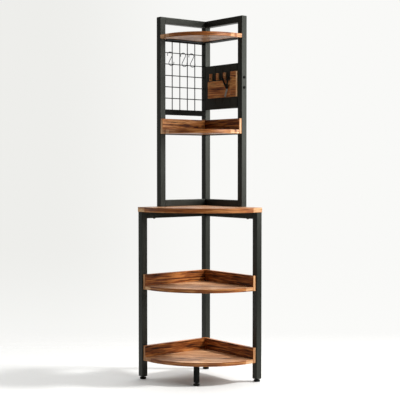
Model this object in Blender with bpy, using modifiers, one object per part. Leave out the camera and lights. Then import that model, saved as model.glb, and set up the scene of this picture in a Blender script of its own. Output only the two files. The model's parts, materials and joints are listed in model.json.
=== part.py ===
"""Corner rack: a quarter-round cupboard-height stand with a two-sided hutch above it.

Square steel tube carries quarter-round boards.  The rack stands in the corner of a room,
so it is laid out from that corner: every place is given by how far it lies along a wall,
how far it stands out from that wall, and its height above the floor.  The right wall runs
along +X and the left wall along -Y.  Lengths are metres and +Z is up.
"""

import math

import bmesh
import bpy
from mathutils import Matrix, Vector

# Whole rack
COUNTER_HEIGHT = 0.798
LOWER_SIDE = 0.404
UPPER_SIDE = 0.298

# Square tube of the frames
TUBE = 0.030
TUBE_WALL = 0.0015
TUBE_CORNER = 0.0018
CORNER_STEPS = 4

# Play between pieces that rest on each other, and how far cuts and welds run over
SEAT_GAP = 0.0003
CUT_OVERRUN = 0.002
WELD_LAP = 0.0006
MERGE_DISTANCE = 0.000006
BEVEL_ANGLE = math.radians(50.0)
SMOOTH_ANGLE = math.radians(40.0)

# Counter board
COUNTER_OVERHANG = 0.003
COUNTER_THICKNESS = 0.022
COUNTER_FLAT_END = 0.032
COUNTER_BOW = 0.1096

# Shelf boards and their back lips
BOARD_THICKNESS = 0.018
BOARD_EDGE = 0.0008
LIP_THICKNESS = 0.016
LIP_HEIGHT = 0.070
BOW_STEPS = 28

# Lower shelves
LOWER_SHELF_SETBACK = 0.005
LOWER_FLAT_END = 0.062
LOWER_BOW = 0.1011
BOTTOM_SHELF_HEIGHT = 0.0885
MID_SHELF_SHARE = 0.48

# Hutch shelves
UPPER_FLAT_END = 0.062
UPPER_BOW = 0.082
HUTCH_SHELF_RISE = 0.339
TOP_SHELF_DROP = 0.102
STRIP_WIDTH = 0.045
STRIP_SETBACK = 0.010
STRIP_THICKNESS = 0.003

# Leg plugs and levelling feet
LEG_CLEARANCE = 0.0145
PLUG_FLANGE = 0.0015
PLUG_DEPTH = 0.020
FOOT_RADIUS = 0.015
FOOT_BASE_RADIUS = 0.0138
FOOT_RIM = 0.0030
FOOT_SHOULDER = 0.0072
FOOT_NECK_HEIGHT = 0.0100
FOOT_NECK_RADIUS = 0.0105
STEM_RADIUS = 0.005
FRONT_STEM_RADIUS = 0.004
STEM_LENGTH = 0.036
TURN_STEPS = 20
BORE_STEPS = 16

# Front leg under the bottom shelf
FRONT_TUBE = 0.020
FRONT_LEG_INSET = 0.015
FRONT_PLATE = 0.050
FRONT_PLATE_THICKNESS = 0.003
FRONT_PLATE_MARGIN = 0.002

# Wire grid in the left side of the hutch
GRID_WIRE_RADIUS = 0.002
GRID_BAR_RADIUS = 0.003
GRID_ROW_PITCH = 0.0532
GRID_ROWS = 6
GRID_COLUMN_PITCH = 0.045
GRID_COLUMNS = 4
GRID_PLANE = 0.016
GRID_RAIL = 0.025
GRID_RAIL_RISE = 0.0202
WIRE_SIDES = 8

# Hooks that hang on the grid's upper wire
HOOK_WIRE_RADIUS = 0.0015
HOOK_LOOP_RADIUS = 0.012
HOOK_LOOP_OFFSET = 0.0035
HOOK_LOOP_RISE = 0.0058
HOOK_YAW = math.radians(40.0)
HOOK_TIP_TURN = math.radians(20.0)
HOOK_LOOP_STEPS = 14
HOOK_COLUMN_SHARES = (3.256, 1.529, 0.433)

# Sheet panel in the right side of the hutch
PANEL_PLACE_SHARE = 0.3254
PANEL_HEIGHT = 0.2125
PANEL_SHEET = 0.0012
PANEL_DEPTH = 0.026
PANEL_GROOVE_WIDTH = 0.002
PANEL_GROOVE_DEPTH = 0.0005
PANEL_GROOVE_SHARES = (0.32, 0.5475, 0.775)
PANEL_BAND_SHARES = (0.33, 0.83)
PANEL_BAND_HEIGHT = 0.012
PANEL_BAND_RISE = 0.008
PANEL_BAND_RELIEF = 0.0012

# Wooden tool holder on the panel
HOLDER_THICKNESS = 0.010
HOLDER_MARGIN = 0.030
HOLDER_RISE = 0.052
HOLDER_BOARD_HEIGHT = 0.079
HOLDER_END_WIDTH = 0.042
HOLDER_END_HEIGHT = 0.1175
HOLDER_BLOCK_WIDTH = 0.015
HOLDER_BLOCK_HEIGHT = 0.033
HOLDER_BLOCK_GAP = 0.0042
HOLDER_BLOCK_SHARES = (0.085, 0.3293, 0.58)
HOLDER_EDGE = 0.0006

# Twin hook on its steel plate
PLATE_WIDTH = 0.012
PLATE_HEIGHT = 0.056
PLATE_THICKNESS = 0.0015
PLATE_TILT = math.radians(20.0)
PLATE_DROP_SHARE = 0.36
TWIN_ALONG_SHARE = 0.71
TWIN_HEIGHT_SHARE = 0.59
TWIN_HUB_RADIUS = 0.009
TWIN_HUB_DEPTH = 0.006
TWIN_PRONG_RADIUS = 0.004
TWIN_SPREAD = 0.022
TWIN_RISE = 0.044
TWIN_REACH = 0.006
TWIN_FLARE_POWER = 0.8
TWIN_STEPS = 9

# Bolts and screws
BOLT_HEAD_RADIUS = 0.0068
BOLT_HEAD_HEIGHT = 0.0035
BOLT_RADIUS = 0.0025
BOLT_GRIP = 0.006
BOLT_SHARES = (0.4355, 0.6562)
SCREW_HEAD_RADIUS = 0.006
SCREW_HEAD_HEIGHT = 0.0035
SCREW_RADIUS = 0.0022
SCREW_BITE = 0.014
SCREW_INSET = 0.0497
HEAD_CROWN_SHARE = 0.55

RIGHT = "right"
LEFT = "left"

# What follows from the sizes above: plan sizes
COUNTER_SIDE = LOWER_SIDE + COUNTER_OVERHANG
HALF_SIDE = COUNTER_SIDE / 2
LOWER_SHELF_SIDE = LOWER_SIDE - LOWER_SHELF_SETBACK
OPEN_START = TUBE + SEAT_GAP
UPPER_OPEN_END = UPPER_SIDE - TUBE - SEAT_GAP
LOWER_OPEN_END = LOWER_SIDE - TUBE - SEAT_GAP
FRONT_OF_TUBE = TUBE + SEAT_GAP

# Heights, stacked from the floor up: the grid stands between the hutch's two shelves
COUNTER_UNDERSIDE = COUNTER_HEIGHT - COUNTER_THICKNESS
MID_SHELF_HEIGHT = BOTTOM_SHELF_HEIGHT + MID_SHELF_SHARE * (COUNTER_UNDERSIDE - BOTTOM_SHELF_HEIGHT)
HUTCH_FOOT = COUNTER_HEIGHT + SEAT_GAP
HUTCH_SHELF_HEIGHT = COUNTER_HEIGHT + HUTCH_SHELF_RISE
HUTCH_LIP_TOP = HUTCH_SHELF_HEIGHT + LIP_HEIGHT
GRID_RAIL_LOW = HUTCH_LIP_TOP + GRID_RAIL_RISE
GRID_RAIL_TOP = GRID_RAIL_LOW + GRID_RAIL
GRID_BAR_HEIGHT = GRID_RAIL_TOP + GRID_ROWS * GRID_ROW_PITCH
TOP_STRIP_LOW = GRID_BAR_HEIGHT + GRID_BAR_RADIUS + SEAT_GAP
TOP_SHELF_HEIGHT = TOP_STRIP_LOW + STRIP_THICKNESS + SEAT_GAP
OVERALL_HEIGHT = TOP_SHELF_HEIGHT + TOP_SHELF_DROP
PANEL_BOTTOM = HUTCH_LIP_TOP + PANEL_PLACE_SHARE * (TOP_STRIP_LOW - HUTCH_LIP_TOP - PANEL_HEIGHT)


def clear_scene():
    """Remove every object, so that the rack is the only thing in the file."""
    for old in list(bpy.data.objects):
        bpy.data.objects.remove(old, do_unlink=True)


def make_collection(name):
    """Make a collection and link it to the scene."""
    collection = bpy.data.collections.new(name)
    bpy.context.scene.collection.children.link(collection)
    return collection


def make_material(name, colour, roughness, metallic):
    """Make a plain Principled material."""
    material = bpy.data.materials.new(name)
    material.use_nodes = True
    shader = material.node_tree.nodes["Principled BSDF"]
    shader.inputs["Base Color"].default_value = (*colour, 1.0)
    shader.inputs["Roughness"].default_value = roughness
    shader.inputs["Metallic"].default_value = metallic
    material.diffuse_color = (*colour, 1.0)
    return material


clear_scene()
RACK = make_collection("Corner rack")
CUTTERS = make_collection("Cutters")

BLACK_STEEL = make_material("Black powder coat", (0.022, 0.022, 0.021), 0.45, 0.0)
BLACK_PLASTIC = make_material("Black plastic", (0.018, 0.018, 0.018), 0.55, 0.0)
RUSTIC_BOARD = make_material("Rustic brown board", (0.30, 0.13, 0.05), 0.38, 0.0)
BRIGHT_STEEL = make_material("Bright steel", (0.62, 0.60, 0.57), 0.30, 1.0)


def spot(wall, along, out, height):
    """World point that lies along a wall, out from it and above the floor."""
    if wall == RIGHT:
        return Vector((along - HALF_SIDE, HALF_SIDE - out, height))
    return Vector((out - HALF_SIDE, HALF_SIDE - along, height))


def wall_direction(wall):
    """Unit vector that runs along a wall, away from the room's corner."""
    if wall == RIGHT:
        return Vector((1.0, 0.0, 0.0))
    return Vector((0.0, -1.0, 0.0))


def add_object(name, mesh, material, place=None, collection=None):
    """Put a mesh in the scene as one named object."""
    piece = bpy.data.objects.new(name, mesh)
    if material is not None:
        mesh.materials.append(material)
    if place is not None:
        piece.matrix_world = place
    (collection or RACK).objects.link(piece)
    return piece


def mesh_from(name, build):
    """Run a bmesh recipe and return its result as a mesh."""
    bm = bmesh.new()
    build(bm)
    mesh = bpy.data.meshes.new(name)
    bm.to_mesh(mesh)
    bm.free()
    return mesh


def add_box(name, corner_a, corner_b, material, collection=None):
    """Add a box between two opposite corners, with its origin at its middle."""
    middle = (corner_a + corner_b) / 2
    size = Vector([abs(b - a) for a, b in zip(corner_a, corner_b)])

    def build(bm):
        bmesh.ops.create_cube(bm, size=1.0, matrix=Matrix.Diagonal((*size, 1.0)))

    return add_object(name, mesh_from(name, build), material, Matrix.Translation(middle), collection)


def add_rod(name, start, end, radius, sides, material, collection=None):
    """Add a closed cylinder from one point to another."""
    run = end - start
    turn = run.to_track_quat("Z", "Y").to_matrix().to_4x4()

    def build(bm):
        bmesh.ops.create_cone(bm, cap_ends=True, segments=sides, radius1=radius,
                              radius2=radius, depth=run.length)

    place = Matrix.Translation((start + end) / 2) @ turn
    return add_object(name, mesh_from(name, build), material, place, collection)


def hide_cutter(cutter):
    """Show a cutter as a wire outline and keep it out of renders."""
    cutter.hide_render = True
    cutter.display_type = "WIRE"
    return cutter


def combine(piece, other, operation):
    """Cut a piece with another object, or join that object to it."""
    modifier = piece.modifiers.new(operation.title() + " " + other.name, "BOOLEAN")
    modifier.operation = operation
    modifier.object = other
    modifier.solver = "EXACT"
    hide_cutter(other)


def bore(pieces, name, start, end, radius):
    """Cut one round hole through every piece in the list."""
    cutter = add_rod(name, start, end, radius, BORE_STEPS, None, CUTTERS)
    for piece in pieces:
        combine(piece, cutter, "DIFFERENCE")


def ease_edges(piece, width):
    """Take the sharpness off the square edges of a board."""
    modifier = piece.modifiers.new("Eased edges", "BEVEL")
    modifier.width = width
    modifier.segments = 1
    modifier.limit_method = "ANGLE"
    modifier.angle_limit = BEVEL_ANGLE


def shade_round(piece):
    """Shade a bent or round piece smooth, but keep its square edges crisp."""
    piece.data.shade_smooth()
    piece.data.set_sharp_from_angle(angle=SMOOTH_ANGLE)


def curve_to_piece(name, curve, material, place, collection=None):
    """Turn a curve into a welded mesh object and remove the curve."""
    guide = bpy.data.objects.new(name + " curve", curve)
    guide.matrix_world = place
    RACK.objects.link(guide)
    bpy.context.view_layer.update()
    evaluated = guide.evaluated_get(bpy.context.evaluated_depsgraph_get())
    mesh = bpy.data.meshes.new_from_object(evaluated)
    mesh.name = name
    bm = bmesh.new()
    bm.from_mesh(mesh)
    bmesh.ops.remove_doubles(bm, verts=bm.verts, dist=MERGE_DISTANCE)
    bmesh.ops.recalc_face_normals(bm, faces=bm.faces)
    bm.to_mesh(mesh)
    bm.free()
    bpy.data.objects.remove(guide, do_unlink=True)
    bpy.data.curves.remove(curve)
    mesh.materials.clear()
    return add_object(name, mesh, material, place, collection)


def flat_shape(name, outlines, thickness):
    """Make a flat 2D curve from closed outlines; a second outline is a hole."""
    curve = bpy.data.curves.new(name, "CURVE")
    curve.dimensions = "2D"
    curve.fill_mode = "BOTH"
    curve.extrude = thickness / 2
    for outline in outlines:
        spline = curve.splines.new("POLY")
        spline.points.add(len(outline) - 1)
        for point, (x, y) in zip(spline.points, outline):
            point.co = (x, y, 0.0, 1.0)
        spline.use_cyclic_u = True
    return curve


def wire_shape(name, points, radius):
    """Make a round wire along a list of points."""
    curve = bpy.data.curves.new(name, "CURVE")
    curve.dimensions = "3D"
    curve.bevel_depth = radius
    curve.bevel_resolution = 2
    curve.use_fill_caps = True
    spline = curve.splines.new("POLY")
    spline.points.add(len(points) - 1)
    for point, place in zip(spline.points, points):
        point.co = (*place, 1.0)
    return curve


def rounded_square(side, radius):
    """Corner points of a square outline with round corners, anticlockwise."""
    points = []
    for quarter in range(4):
        middle = quarter * math.pi / 2 + math.pi / 4
        reach = math.sqrt(2) * (side / 2 - radius)
        for step in range(CORNER_STEPS + 1):
            angle = quarter * math.pi / 2 + step / CORNER_STEPS * math.pi / 2
            points.append((reach * math.cos(middle) + radius * math.cos(angle),
                           reach * math.sin(middle) + radius * math.sin(angle)))
    return points


def square(side):
    """Corner points of a plain square outline, clockwise."""
    half = side / 2
    return [(half, half), (half, -half), (-half, -half), (-half, half)]


def add_tube(name, start, end, side):
    """Add a hollow square tube with open ends from one point to another."""
    run = end - start
    outline = rounded_square(side, TUBE_CORNER)
    curve = flat_shape(name, [outline, square(side - 2 * TUBE_WALL)], run.length)
    turn = run.to_track_quat("Z", "Y").to_matrix().to_4x4()
    return curve_to_piece(name, curve, BLACK_STEEL, Matrix.Translation((start + end) / 2) @ turn)


def add_turned(name, profile, steps, material, place):
    """Add a piece turned about its own Z axis from (radius, height) points, top to bottom."""

    def build(bm):
        points = [bm.verts.new((radius, 0.0, height)) for radius, height in profile]
        for upper, lower in zip(points, points[1:]):
            bm.edges.new((upper, lower))

    piece = add_object(name, mesh_from(name, build), material, place)
    turn = piece.modifiers.new("Turned", "SCREW")
    turn.steps = steps
    turn.render_steps = steps
    turn.use_merge_vertices = True
    turn.merge_threshold = MERGE_DISTANCE
    turn.use_normal_calculate = True
    return piece


def front_reach(side, flat_end, bow):
    """How far the bowed front comes out along each wall at the middle of its arc."""
    return ((side + flat_end) / math.sqrt(2) + bow) / math.sqrt(2)


def front_arc(side, flat_end, bow):
    """Points of the bowed front, from the right wall's end round to the left wall's end."""
    half_chord = (side - flat_end) / math.sqrt(2)
    radius = (half_chord ** 2 + bow ** 2) / (2 * bow)
    centre = front_reach(side, flat_end, bow) - radius / math.sqrt(2)
    spread = 2 * math.atan2(bow, half_chord)
    points = []
    for step in range(BOW_STEPS + 1):
        angle = math.pi / 4 - spread + 2 * spread * step / BOW_STEPS
        points.append((centre + radius * math.cos(angle), centre + radius * math.sin(angle)))
    return points


def add_board(name, back, side, flat_end, bow, underside, thickness):
    """Add a quarter-round board whose back edges stand off both walls alike."""
    outline = [(back, back), (side, back), *front_arc(side, flat_end, bow), (back, side)]
    places = [spot(RIGHT, along, out, underside + thickness / 2) for along, out in outline]
    curve = flat_shape(name, [[(place.x, place.y) for place in places]], thickness)
    board = curve_to_piece(name, curve, RUSTIC_BOARD,
                           Matrix.Translation((0.0, 0.0, underside + thickness / 2)))
    ease_edges(board, BOARD_EDGE)
    return board


def add_lips(name, side, underside):
    """Add the two upright boards behind a shelf; the left one runs on behind the right one."""
    inner = FRONT_OF_TUBE + LIP_THICKNESS
    left = add_box(name + "_left_lip", spot(LEFT, FRONT_OF_TUBE, FRONT_OF_TUBE, underside),
                   spot(LEFT, side, inner, underside + LIP_HEIGHT), RUSTIC_BOARD)
    right = add_box(name + "_right_lip", spot(RIGHT, inner + SEAT_GAP, FRONT_OF_TUBE, underside),
                    spot(RIGHT, side, inner, underside + LIP_HEIGHT), RUSTIC_BOARD)
    for lip in (left, right):
        ease_edges(lip, BOARD_EDGE)


def add_lipped_shelf(name, side, flat_end, bow, underside):
    """Add a shelf board with a lip along each wall."""
    back = FRONT_OF_TUBE + LIP_THICKNESS + SEAT_GAP
    add_board(name + "_board", back, side, flat_end, bow, underside, BOARD_THICKNESS)
    add_lips(name, side, underside)


def add_strips(name, underside):
    """Add the two steel strips that carry a hutch shelf between the posts."""
    top = underside - SEAT_GAP
    for wall, start in ((LEFT, OPEN_START), (RIGHT, STRIP_SETBACK + STRIP_WIDTH + SEAT_GAP)):
        add_box(f"{name}_{wall}_strip", spot(wall, start, STRIP_SETBACK, top - STRIP_THICKNESS),
                spot(wall, UPPER_OPEN_END, STRIP_SETBACK + STRIP_WIDTH, top), BLACK_STEEL)


def add_plug(name, centre, face, pointing, tube_side, bore_radius):
    """Add a plastic plug: a thin flange over a tube's end and a body inside the tube."""
    flange_half = Vector((tube_side / 2, tube_side / 2, 0.0))
    body_side = tube_side - 2 * TUBE_WALL - 2 * SEAT_GAP
    body_half = Vector((body_side / 2, body_side / 2, 0.0))
    middle = Vector((centre.x, centre.y, face))
    outside = Vector((0.0, 0.0, pointing * PLUG_FLANGE))
    inside = Vector((0.0, 0.0, -pointing * PLUG_DEPTH))
    plug = add_box(name, middle - flange_half, middle + flange_half + outside, BLACK_PLASTIC)
    lap = Vector((0.0, 0.0, pointing * WELD_LAP))
    body = add_box(name + " body", middle - body_half + lap, middle + body_half + inside, None, CUTTERS)
    combine(plug, body, "UNION")
    if bore_radius:
        overrun = Vector((0.0, 0.0, pointing * CUT_OVERRUN))
        bore([plug], name + " bore", middle + outside + overrun, middle + inside - overrun, bore_radius)
    return plug


def add_foot(name, centre, stem_radius):
    """Add a levelling foot: a turned pad, its neck and the stem that screws into the plug."""
    profile = [(0.0, FOOT_NECK_HEIGHT + STEM_LENGTH), (stem_radius, FOOT_NECK_HEIGHT + STEM_LENGTH),
               (stem_radius, FOOT_NECK_HEIGHT), (FOOT_NECK_RADIUS, FOOT_NECK_HEIGHT),
               (FOOT_RADIUS, FOOT_SHOULDER), (FOOT_RADIUS, FOOT_RIM), (FOOT_BASE_RADIUS, 0.0), (0.0, 0.0)]
    return add_turned(name, profile, TURN_STEPS, BLACK_PLASTIC, Matrix.Translation(centre))


def post_centres(side):
    """Middle of the left, right and back posts of a square that stands in the corner."""
    middle = TUBE / 2
    return {"left": spot(LEFT, side - middle, middle, 0.0),
            "right": spot(RIGHT, side - middle, middle, 0.0),
            "back": spot(RIGHT, middle, middle, 0.0)}


def add_rail(name, wall, start, end, underside, side):
    """Add a level tube between two posts, flush with their wall side or their front."""
    middle = TUBE - side / 2
    height = underside + side / 2
    return add_tube(name, spot(wall, start, middle, height), spot(wall, end, middle, height), side)


def add_lower_frame():
    """Add the three lower posts, their aprons, plugs and feet."""
    for place, centre in post_centres(LOWER_SIDE).items():
        low = centre + Vector((0.0, 0.0, LEG_CLEARANCE))
        high = centre + Vector((0.0, 0.0, COUNTER_UNDERSIDE - SEAT_GAP))
        add_tube(place + "_leg", low, high, TUBE)
        add_plug(place + "_leg_plug", centre, LEG_CLEARANCE - SEAT_GAP, -1, TUBE, STEM_RADIUS + SEAT_GAP)
        add_foot(place + "_foot", centre, STEM_RADIUS)
    aprons = {}
    for wall in (LEFT, RIGHT):
        aprons[wall] = add_rail(wall + "_apron", wall, OPEN_START, LOWER_OPEN_END,
                                COUNTER_UNDERSIDE - SEAT_GAP - TUBE, TUBE)
    return aprons


def add_front_leg():
    """Add the short leg that props the bottom shelf's bowed front."""
    inset = front_reach(LOWER_SHELF_SIDE, LOWER_FLAT_END, LOWER_BOW) - FRONT_LEG_INSET
    centre = spot(RIGHT, inset, inset, 0.0)
    plate_top = BOTTOM_SHELF_HEIGHT - SEAT_GAP
    plate_low = plate_top - FRONT_PLATE_THICKNESS
    leg = add_tube("front_leg", centre + Vector((0.0, 0.0, LEG_CLEARANCE)),
                   centre + Vector((0.0, 0.0, plate_low + WELD_LAP)), FRONT_TUBE)
    outer = inset + FRONT_TUBE / 2 + FRONT_PLATE_MARGIN
    plate = add_box("front leg plate", spot(RIGHT, outer, outer, plate_top),
                    spot(RIGHT, outer - FRONT_PLATE, outer - FRONT_PLATE, plate_low), None, CUTTERS)
    combine(leg, plate, "UNION")
    add_plug("front_leg_plug", centre, LEG_CLEARANCE - SEAT_GAP, -1, FRONT_TUBE,
             FRONT_STEM_RADIUS + SEAT_GAP)
    add_foot("front_foot", centre, FRONT_STEM_RADIUS)


def add_counter(aprons):
    """Add the counter board and the screws that hold it from below."""
    counter = add_board("counter_top", 0.0, COUNTER_SIDE, COUNTER_FLAT_END, COUNTER_BOW,
                        COUNTER_UNDERSIDE, COUNTER_THICKNESS)
    apron_low = COUNTER_UNDERSIDE - SEAT_GAP - TUBE
    for wall in (LEFT, RIGHT):
        head = spot(wall, LOWER_OPEN_END - SCREW_INSET, TUBE / 2, apron_low - SEAT_GAP)
        up = Vector((0.0, 0.0, 1.0))
        length = TUBE + 2 * SEAT_GAP + SCREW_BITE
        add_fastener(wall + "_counter_screw", head, up, length, SCREW_RADIUS, SCREW_HEAD_RADIUS,
                     SCREW_HEAD_HEIGHT)
        bore([aprons[wall], counter], wall + " counter screw hole", head - up * CUT_OVERRUN,
             head + up * (length + SEAT_GAP), SCREW_RADIUS + SEAT_GAP)


def add_fastener(name, seat, direction, length, radius, head_radius, head_height):
    """Add a bolt or screw whose head sits on a face and whose shank runs into it."""
    crown = head_radius * HEAD_CROWN_SHARE
    profile = [(0.0, length), (radius, length), (radius, 0.0), (head_radius, 0.0),
               (head_radius, -head_height / 2), (crown, -head_height), (0.0, -head_height)]
    turn = direction.to_track_quat("Z", "Y").to_matrix().to_4x4()
    return add_turned(name, profile, BORE_STEPS, BLACK_STEEL, Matrix.Translation(seat) @ turn)


def add_hutch_frame():
    """Add the hutch's three posts with their caps, and its top and base rails."""
    posts = {}
    cap_face = OVERALL_HEIGHT - PLUG_FLANGE
    for place, centre in post_centres(UPPER_SIDE).items():
        low = centre + Vector((0.0, 0.0, HUTCH_FOOT))
        high = centre + Vector((0.0, 0.0, cap_face - SEAT_GAP))
        posts[place] = add_tube(f"hutch_{place}_post", low, high, TUBE)
        add_plug(f"hutch_{place}_cap", centre, cap_face, 1, TUBE, 0.0)
    for wall in (LEFT, RIGHT):
        add_rail(f"hutch_{wall}_top_rail", wall, OPEN_START, UPPER_OPEN_END, OVERALL_HEIGHT - TUBE, TUBE)
        add_rail(f"hutch_{wall}_base_rail", wall, OPEN_START, UPPER_OPEN_END, HUTCH_FOOT, TUBE)
    return posts


def grid_row_height(row):
    """Height of one level wire; row 0 is the bar along the top."""
    return GRID_BAR_HEIGHT - row * GRID_ROW_PITCH


def grid_column_place(column):
    """Where one upright wire stands along the left wall."""
    middle = (OPEN_START + UPPER_OPEN_END) / 2
    return middle + (column - (GRID_COLUMNS - 1) / 2) * GRID_COLUMN_PITCH


def add_grid():
    """Add the wire grid and the tube that carries it."""
    add_rail("grid_rail", LEFT, OPEN_START, UPPER_OPEN_END, GRID_RAIL_LOW, GRID_RAIL)
    grid = add_rod("wire_grid", spot(LEFT, OPEN_START, GRID_PLANE, grid_row_height(0)),
                   spot(LEFT, UPPER_OPEN_END, GRID_PLANE, grid_row_height(0)),
                   GRID_BAR_RADIUS, WIRE_SIDES, BLACK_STEEL)
    back_plane = GRID_PLANE - 2 * GRID_WIRE_RADIUS + WELD_LAP
    for column in range(GRID_COLUMNS):
        along = grid_column_place(column)
        upright = add_rod(f"grid upright {column + 1}",
                          spot(LEFT, along, back_plane, GRID_RAIL_TOP + SEAT_GAP),
                          spot(LEFT, along, back_plane, grid_row_height(0)),
                          GRID_WIRE_RADIUS, WIRE_SIDES, None, CUTTERS)
        combine(grid, upright, "UNION")
    for row in range(1, GRID_ROWS):
        height = grid_row_height(row)
        level = add_rod(f"grid wire {row}", spot(LEFT, OPEN_START, GRID_PLANE, height),
                        spot(LEFT, UPPER_OPEN_END, GRID_PLANE, height),
                        GRID_WIRE_RADIUS, WIRE_SIDES, None, CUTTERS)
        combine(grid, level, "UNION")
    shade_round(grid)


def hook_points():
    """Points of an S-shaped hook in its own plane; the grid wire's axis is the origin.

    The upper loop hangs on that wire and the lower loop goes round the next wire down.
    """
    play = HOOK_LOOP_RADIUS - HOOK_WIRE_RADIUS - GRID_WIRE_RADIUS - SEAT_GAP
    drop = math.sqrt(play ** 2 - HOOK_LOOP_OFFSET ** 2)
    upper = Vector((-HOOK_LOOP_OFFSET, 0.0, -drop))
    lower = Vector((HOOK_LOOP_OFFSET, 0.0, HOOK_LOOP_RISE - GRID_ROW_PITCH))
    apart = lower - upper
    lean = math.atan2(apart.x, -apart.z)
    cross = math.asin(2 * HOOK_LOOP_RADIUS / apart.length)
    leave = cross - lean
    start = math.pi + HOOK_TIP_TURN
    points = []
    for step in range(HOOK_LOOP_STEPS + 1):
        angle = start + (-leave - start) * step / HOOK_LOOP_STEPS
        points.append(upper + HOOK_LOOP_RADIUS * Vector((math.cos(angle), 0.0, math.sin(angle))))
    for step in range(HOOK_LOOP_STEPS + 1):
        angle = math.pi - leave + (math.pi + HOOK_TIP_TURN + leave) * step / HOOK_LOOP_STEPS
        points.append(lower + HOOK_LOOP_RADIUS * Vector((math.cos(angle), 0.0, math.sin(angle))))
    return points


def add_hooks():
    """Hang the hooks on the grid's upper wire; each one's origin lies on the wire's axis."""
    points = hook_points()
    for number, share in enumerate(HOOK_COLUMN_SHARES, start=1):
        along = grid_column_place(0) + share * GRID_COLUMN_PITCH
        place = Matrix.Translation(spot(LEFT, along, GRID_PLANE, grid_row_height(1)))
        turn = Matrix.Rotation(HOOK_YAW, 4, "Z")
        name = f"s_hook_{number}"
        hook = curve_to_piece(name, wire_shape(name, points, HOOK_WIRE_RADIUS), BLACK_STEEL, place @ turn)
        shade_round(hook)


def add_panel_folds(left_end, right_end, top):
    """Add the folded edges behind the sheet panel, one strip along each side."""
    back = TUBE - PANEL_DEPTH
    front = TUBE - PANEL_SHEET - SEAT_GAP
    inner_left = left_end + PANEL_SHEET
    inner_right = right_end - PANEL_SHEET
    between = (inner_left + SEAT_GAP, inner_right - SEAT_GAP)
    folds = {"left": (left_end, inner_left, PANEL_BOTTOM, top),
             "right": (inner_right, right_end, PANEL_BOTTOM, top),
             "bottom": (*between, PANEL_BOTTOM, PANEL_BOTTOM + PANEL_SHEET),
             "top": (*between, top - PANEL_SHEET, top)}
    strips = {}
    for side, (start, end, low, high) in folds.items():
        strips[side] = add_box(f"panel_{side}_fold", spot(RIGHT, start, back, low),
                               spot(RIGHT, end, front, high), BLACK_STEEL)
    return strips


def add_tool_panel(right_post):
    """Add the sheet panel between the right side's posts, with its folds and the bolts that hold it."""
    top = PANEL_BOTTOM + PANEL_HEIGHT
    left_end = OPEN_START
    right_end = UPPER_OPEN_END
    width = right_end - left_end
    panel = add_box("tool_panel", spot(RIGHT, left_end, TUBE - PANEL_SHEET, PANEL_BOTTOM),
                    spot(RIGHT, right_end, TUBE, top), BLACK_STEEL)
    folds = add_panel_folds(left_end, right_end, top)
    for number, share in enumerate(PANEL_GROOVE_SHARES, start=1):
        middle = left_end + share * width
        groove = add_box(f"panel groove {number}",
                         spot(RIGHT, middle - PANEL_GROOVE_WIDTH / 2, TUBE - PANEL_GROOVE_DEPTH,
                              PANEL_BOTTOM + PANEL_BAND_RISE + PANEL_BAND_HEIGHT + PANEL_GROOVE_WIDTH),
                         spot(RIGHT, middle + PANEL_GROOVE_WIDTH / 2, TUBE + CUT_OVERRUN,
                              top + CUT_OVERRUN), None, CUTTERS)
        combine(panel, groove, "DIFFERENCE")
    low_share, high_share = PANEL_BAND_SHARES
    band_low = PANEL_BOTTOM + PANEL_BAND_RISE
    band_left = left_end + low_share * width
    band_right = left_end + high_share * width
    band = add_box("panel band", spot(RIGHT, band_left, TUBE - PANEL_SHEET / 2, band_low),
                   spot(RIGHT, band_right, TUBE + PANEL_BAND_RELIEF, band_low + PANEL_BAND_HEIGHT),
                   None, CUTTERS)
    combine(panel, band, "UNION")
    inward = -wall_direction(RIGHT)
    for name, share in zip(("lower", "upper"), BOLT_SHARES):
        seat = spot(RIGHT, UPPER_SIDE + SEAT_GAP, TUBE / 2, PANEL_BOTTOM + share * PANEL_HEIGHT)
        length = TUBE + 2 * SEAT_GAP + PANEL_SHEET + BOLT_GRIP
        add_fastener(f"panel_{name}_bolt", seat, inward, length, BOLT_RADIUS, BOLT_HEAD_RADIUS,
                     BOLT_HEAD_HEIGHT)
        bore([right_post, folds["right"]], f"panel {name} bolt hole", seat - inward * CUT_OVERRUN,
             seat + inward * (length + CUT_OVERRUN), BOLT_RADIUS + SEAT_GAP)


def add_tool_holder():
    """Add the wooden tool holder: a board, an end block and a row of small blocks."""
    back = TUBE + SEAT_GAP
    front = back + HOLDER_THICKNESS
    left_end = OPEN_START + HOLDER_MARGIN
    right_end = UPPER_OPEN_END
    low = PANEL_BOTTOM + HOLDER_RISE
    end_left = right_end - HOLDER_END_WIDTH
    pieces = [add_box("holder_board", spot(RIGHT, left_end, back, low),
                      spot(RIGHT, end_left - SEAT_GAP, front, low + HOLDER_BOARD_HEIGHT), RUSTIC_BOARD),
              add_box("holder_end_block", spot(RIGHT, end_left, back, low),
                      spot(RIGHT, right_end, front, low + HOLDER_END_HEIGHT), RUSTIC_BOARD)]
    block_low = low + HOLDER_BOARD_HEIGHT + HOLDER_BLOCK_GAP
    for number, share in enumerate(HOLDER_BLOCK_SHARES, start=1):
        middle = left_end + share * (right_end - left_end)
        pieces.append(add_box(f"holder_block_{number}",
                              spot(RIGHT, middle - HOLDER_BLOCK_WIDTH / 2, back, block_low),
                              spot(RIGHT, middle + HOLDER_BLOCK_WIDTH / 2, front,
                                   block_low + HOLDER_BLOCK_HEIGHT), RUSTIC_BOARD))
    for piece in pieces:
        ease_edges(piece, HOLDER_EDGE)
    add_twin_hook(left_end + TWIN_ALONG_SHARE * (right_end - left_end),
                  low + TWIN_HEIGHT_SHARE * HOLDER_BOARD_HEIGHT, front + SEAT_GAP)


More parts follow.
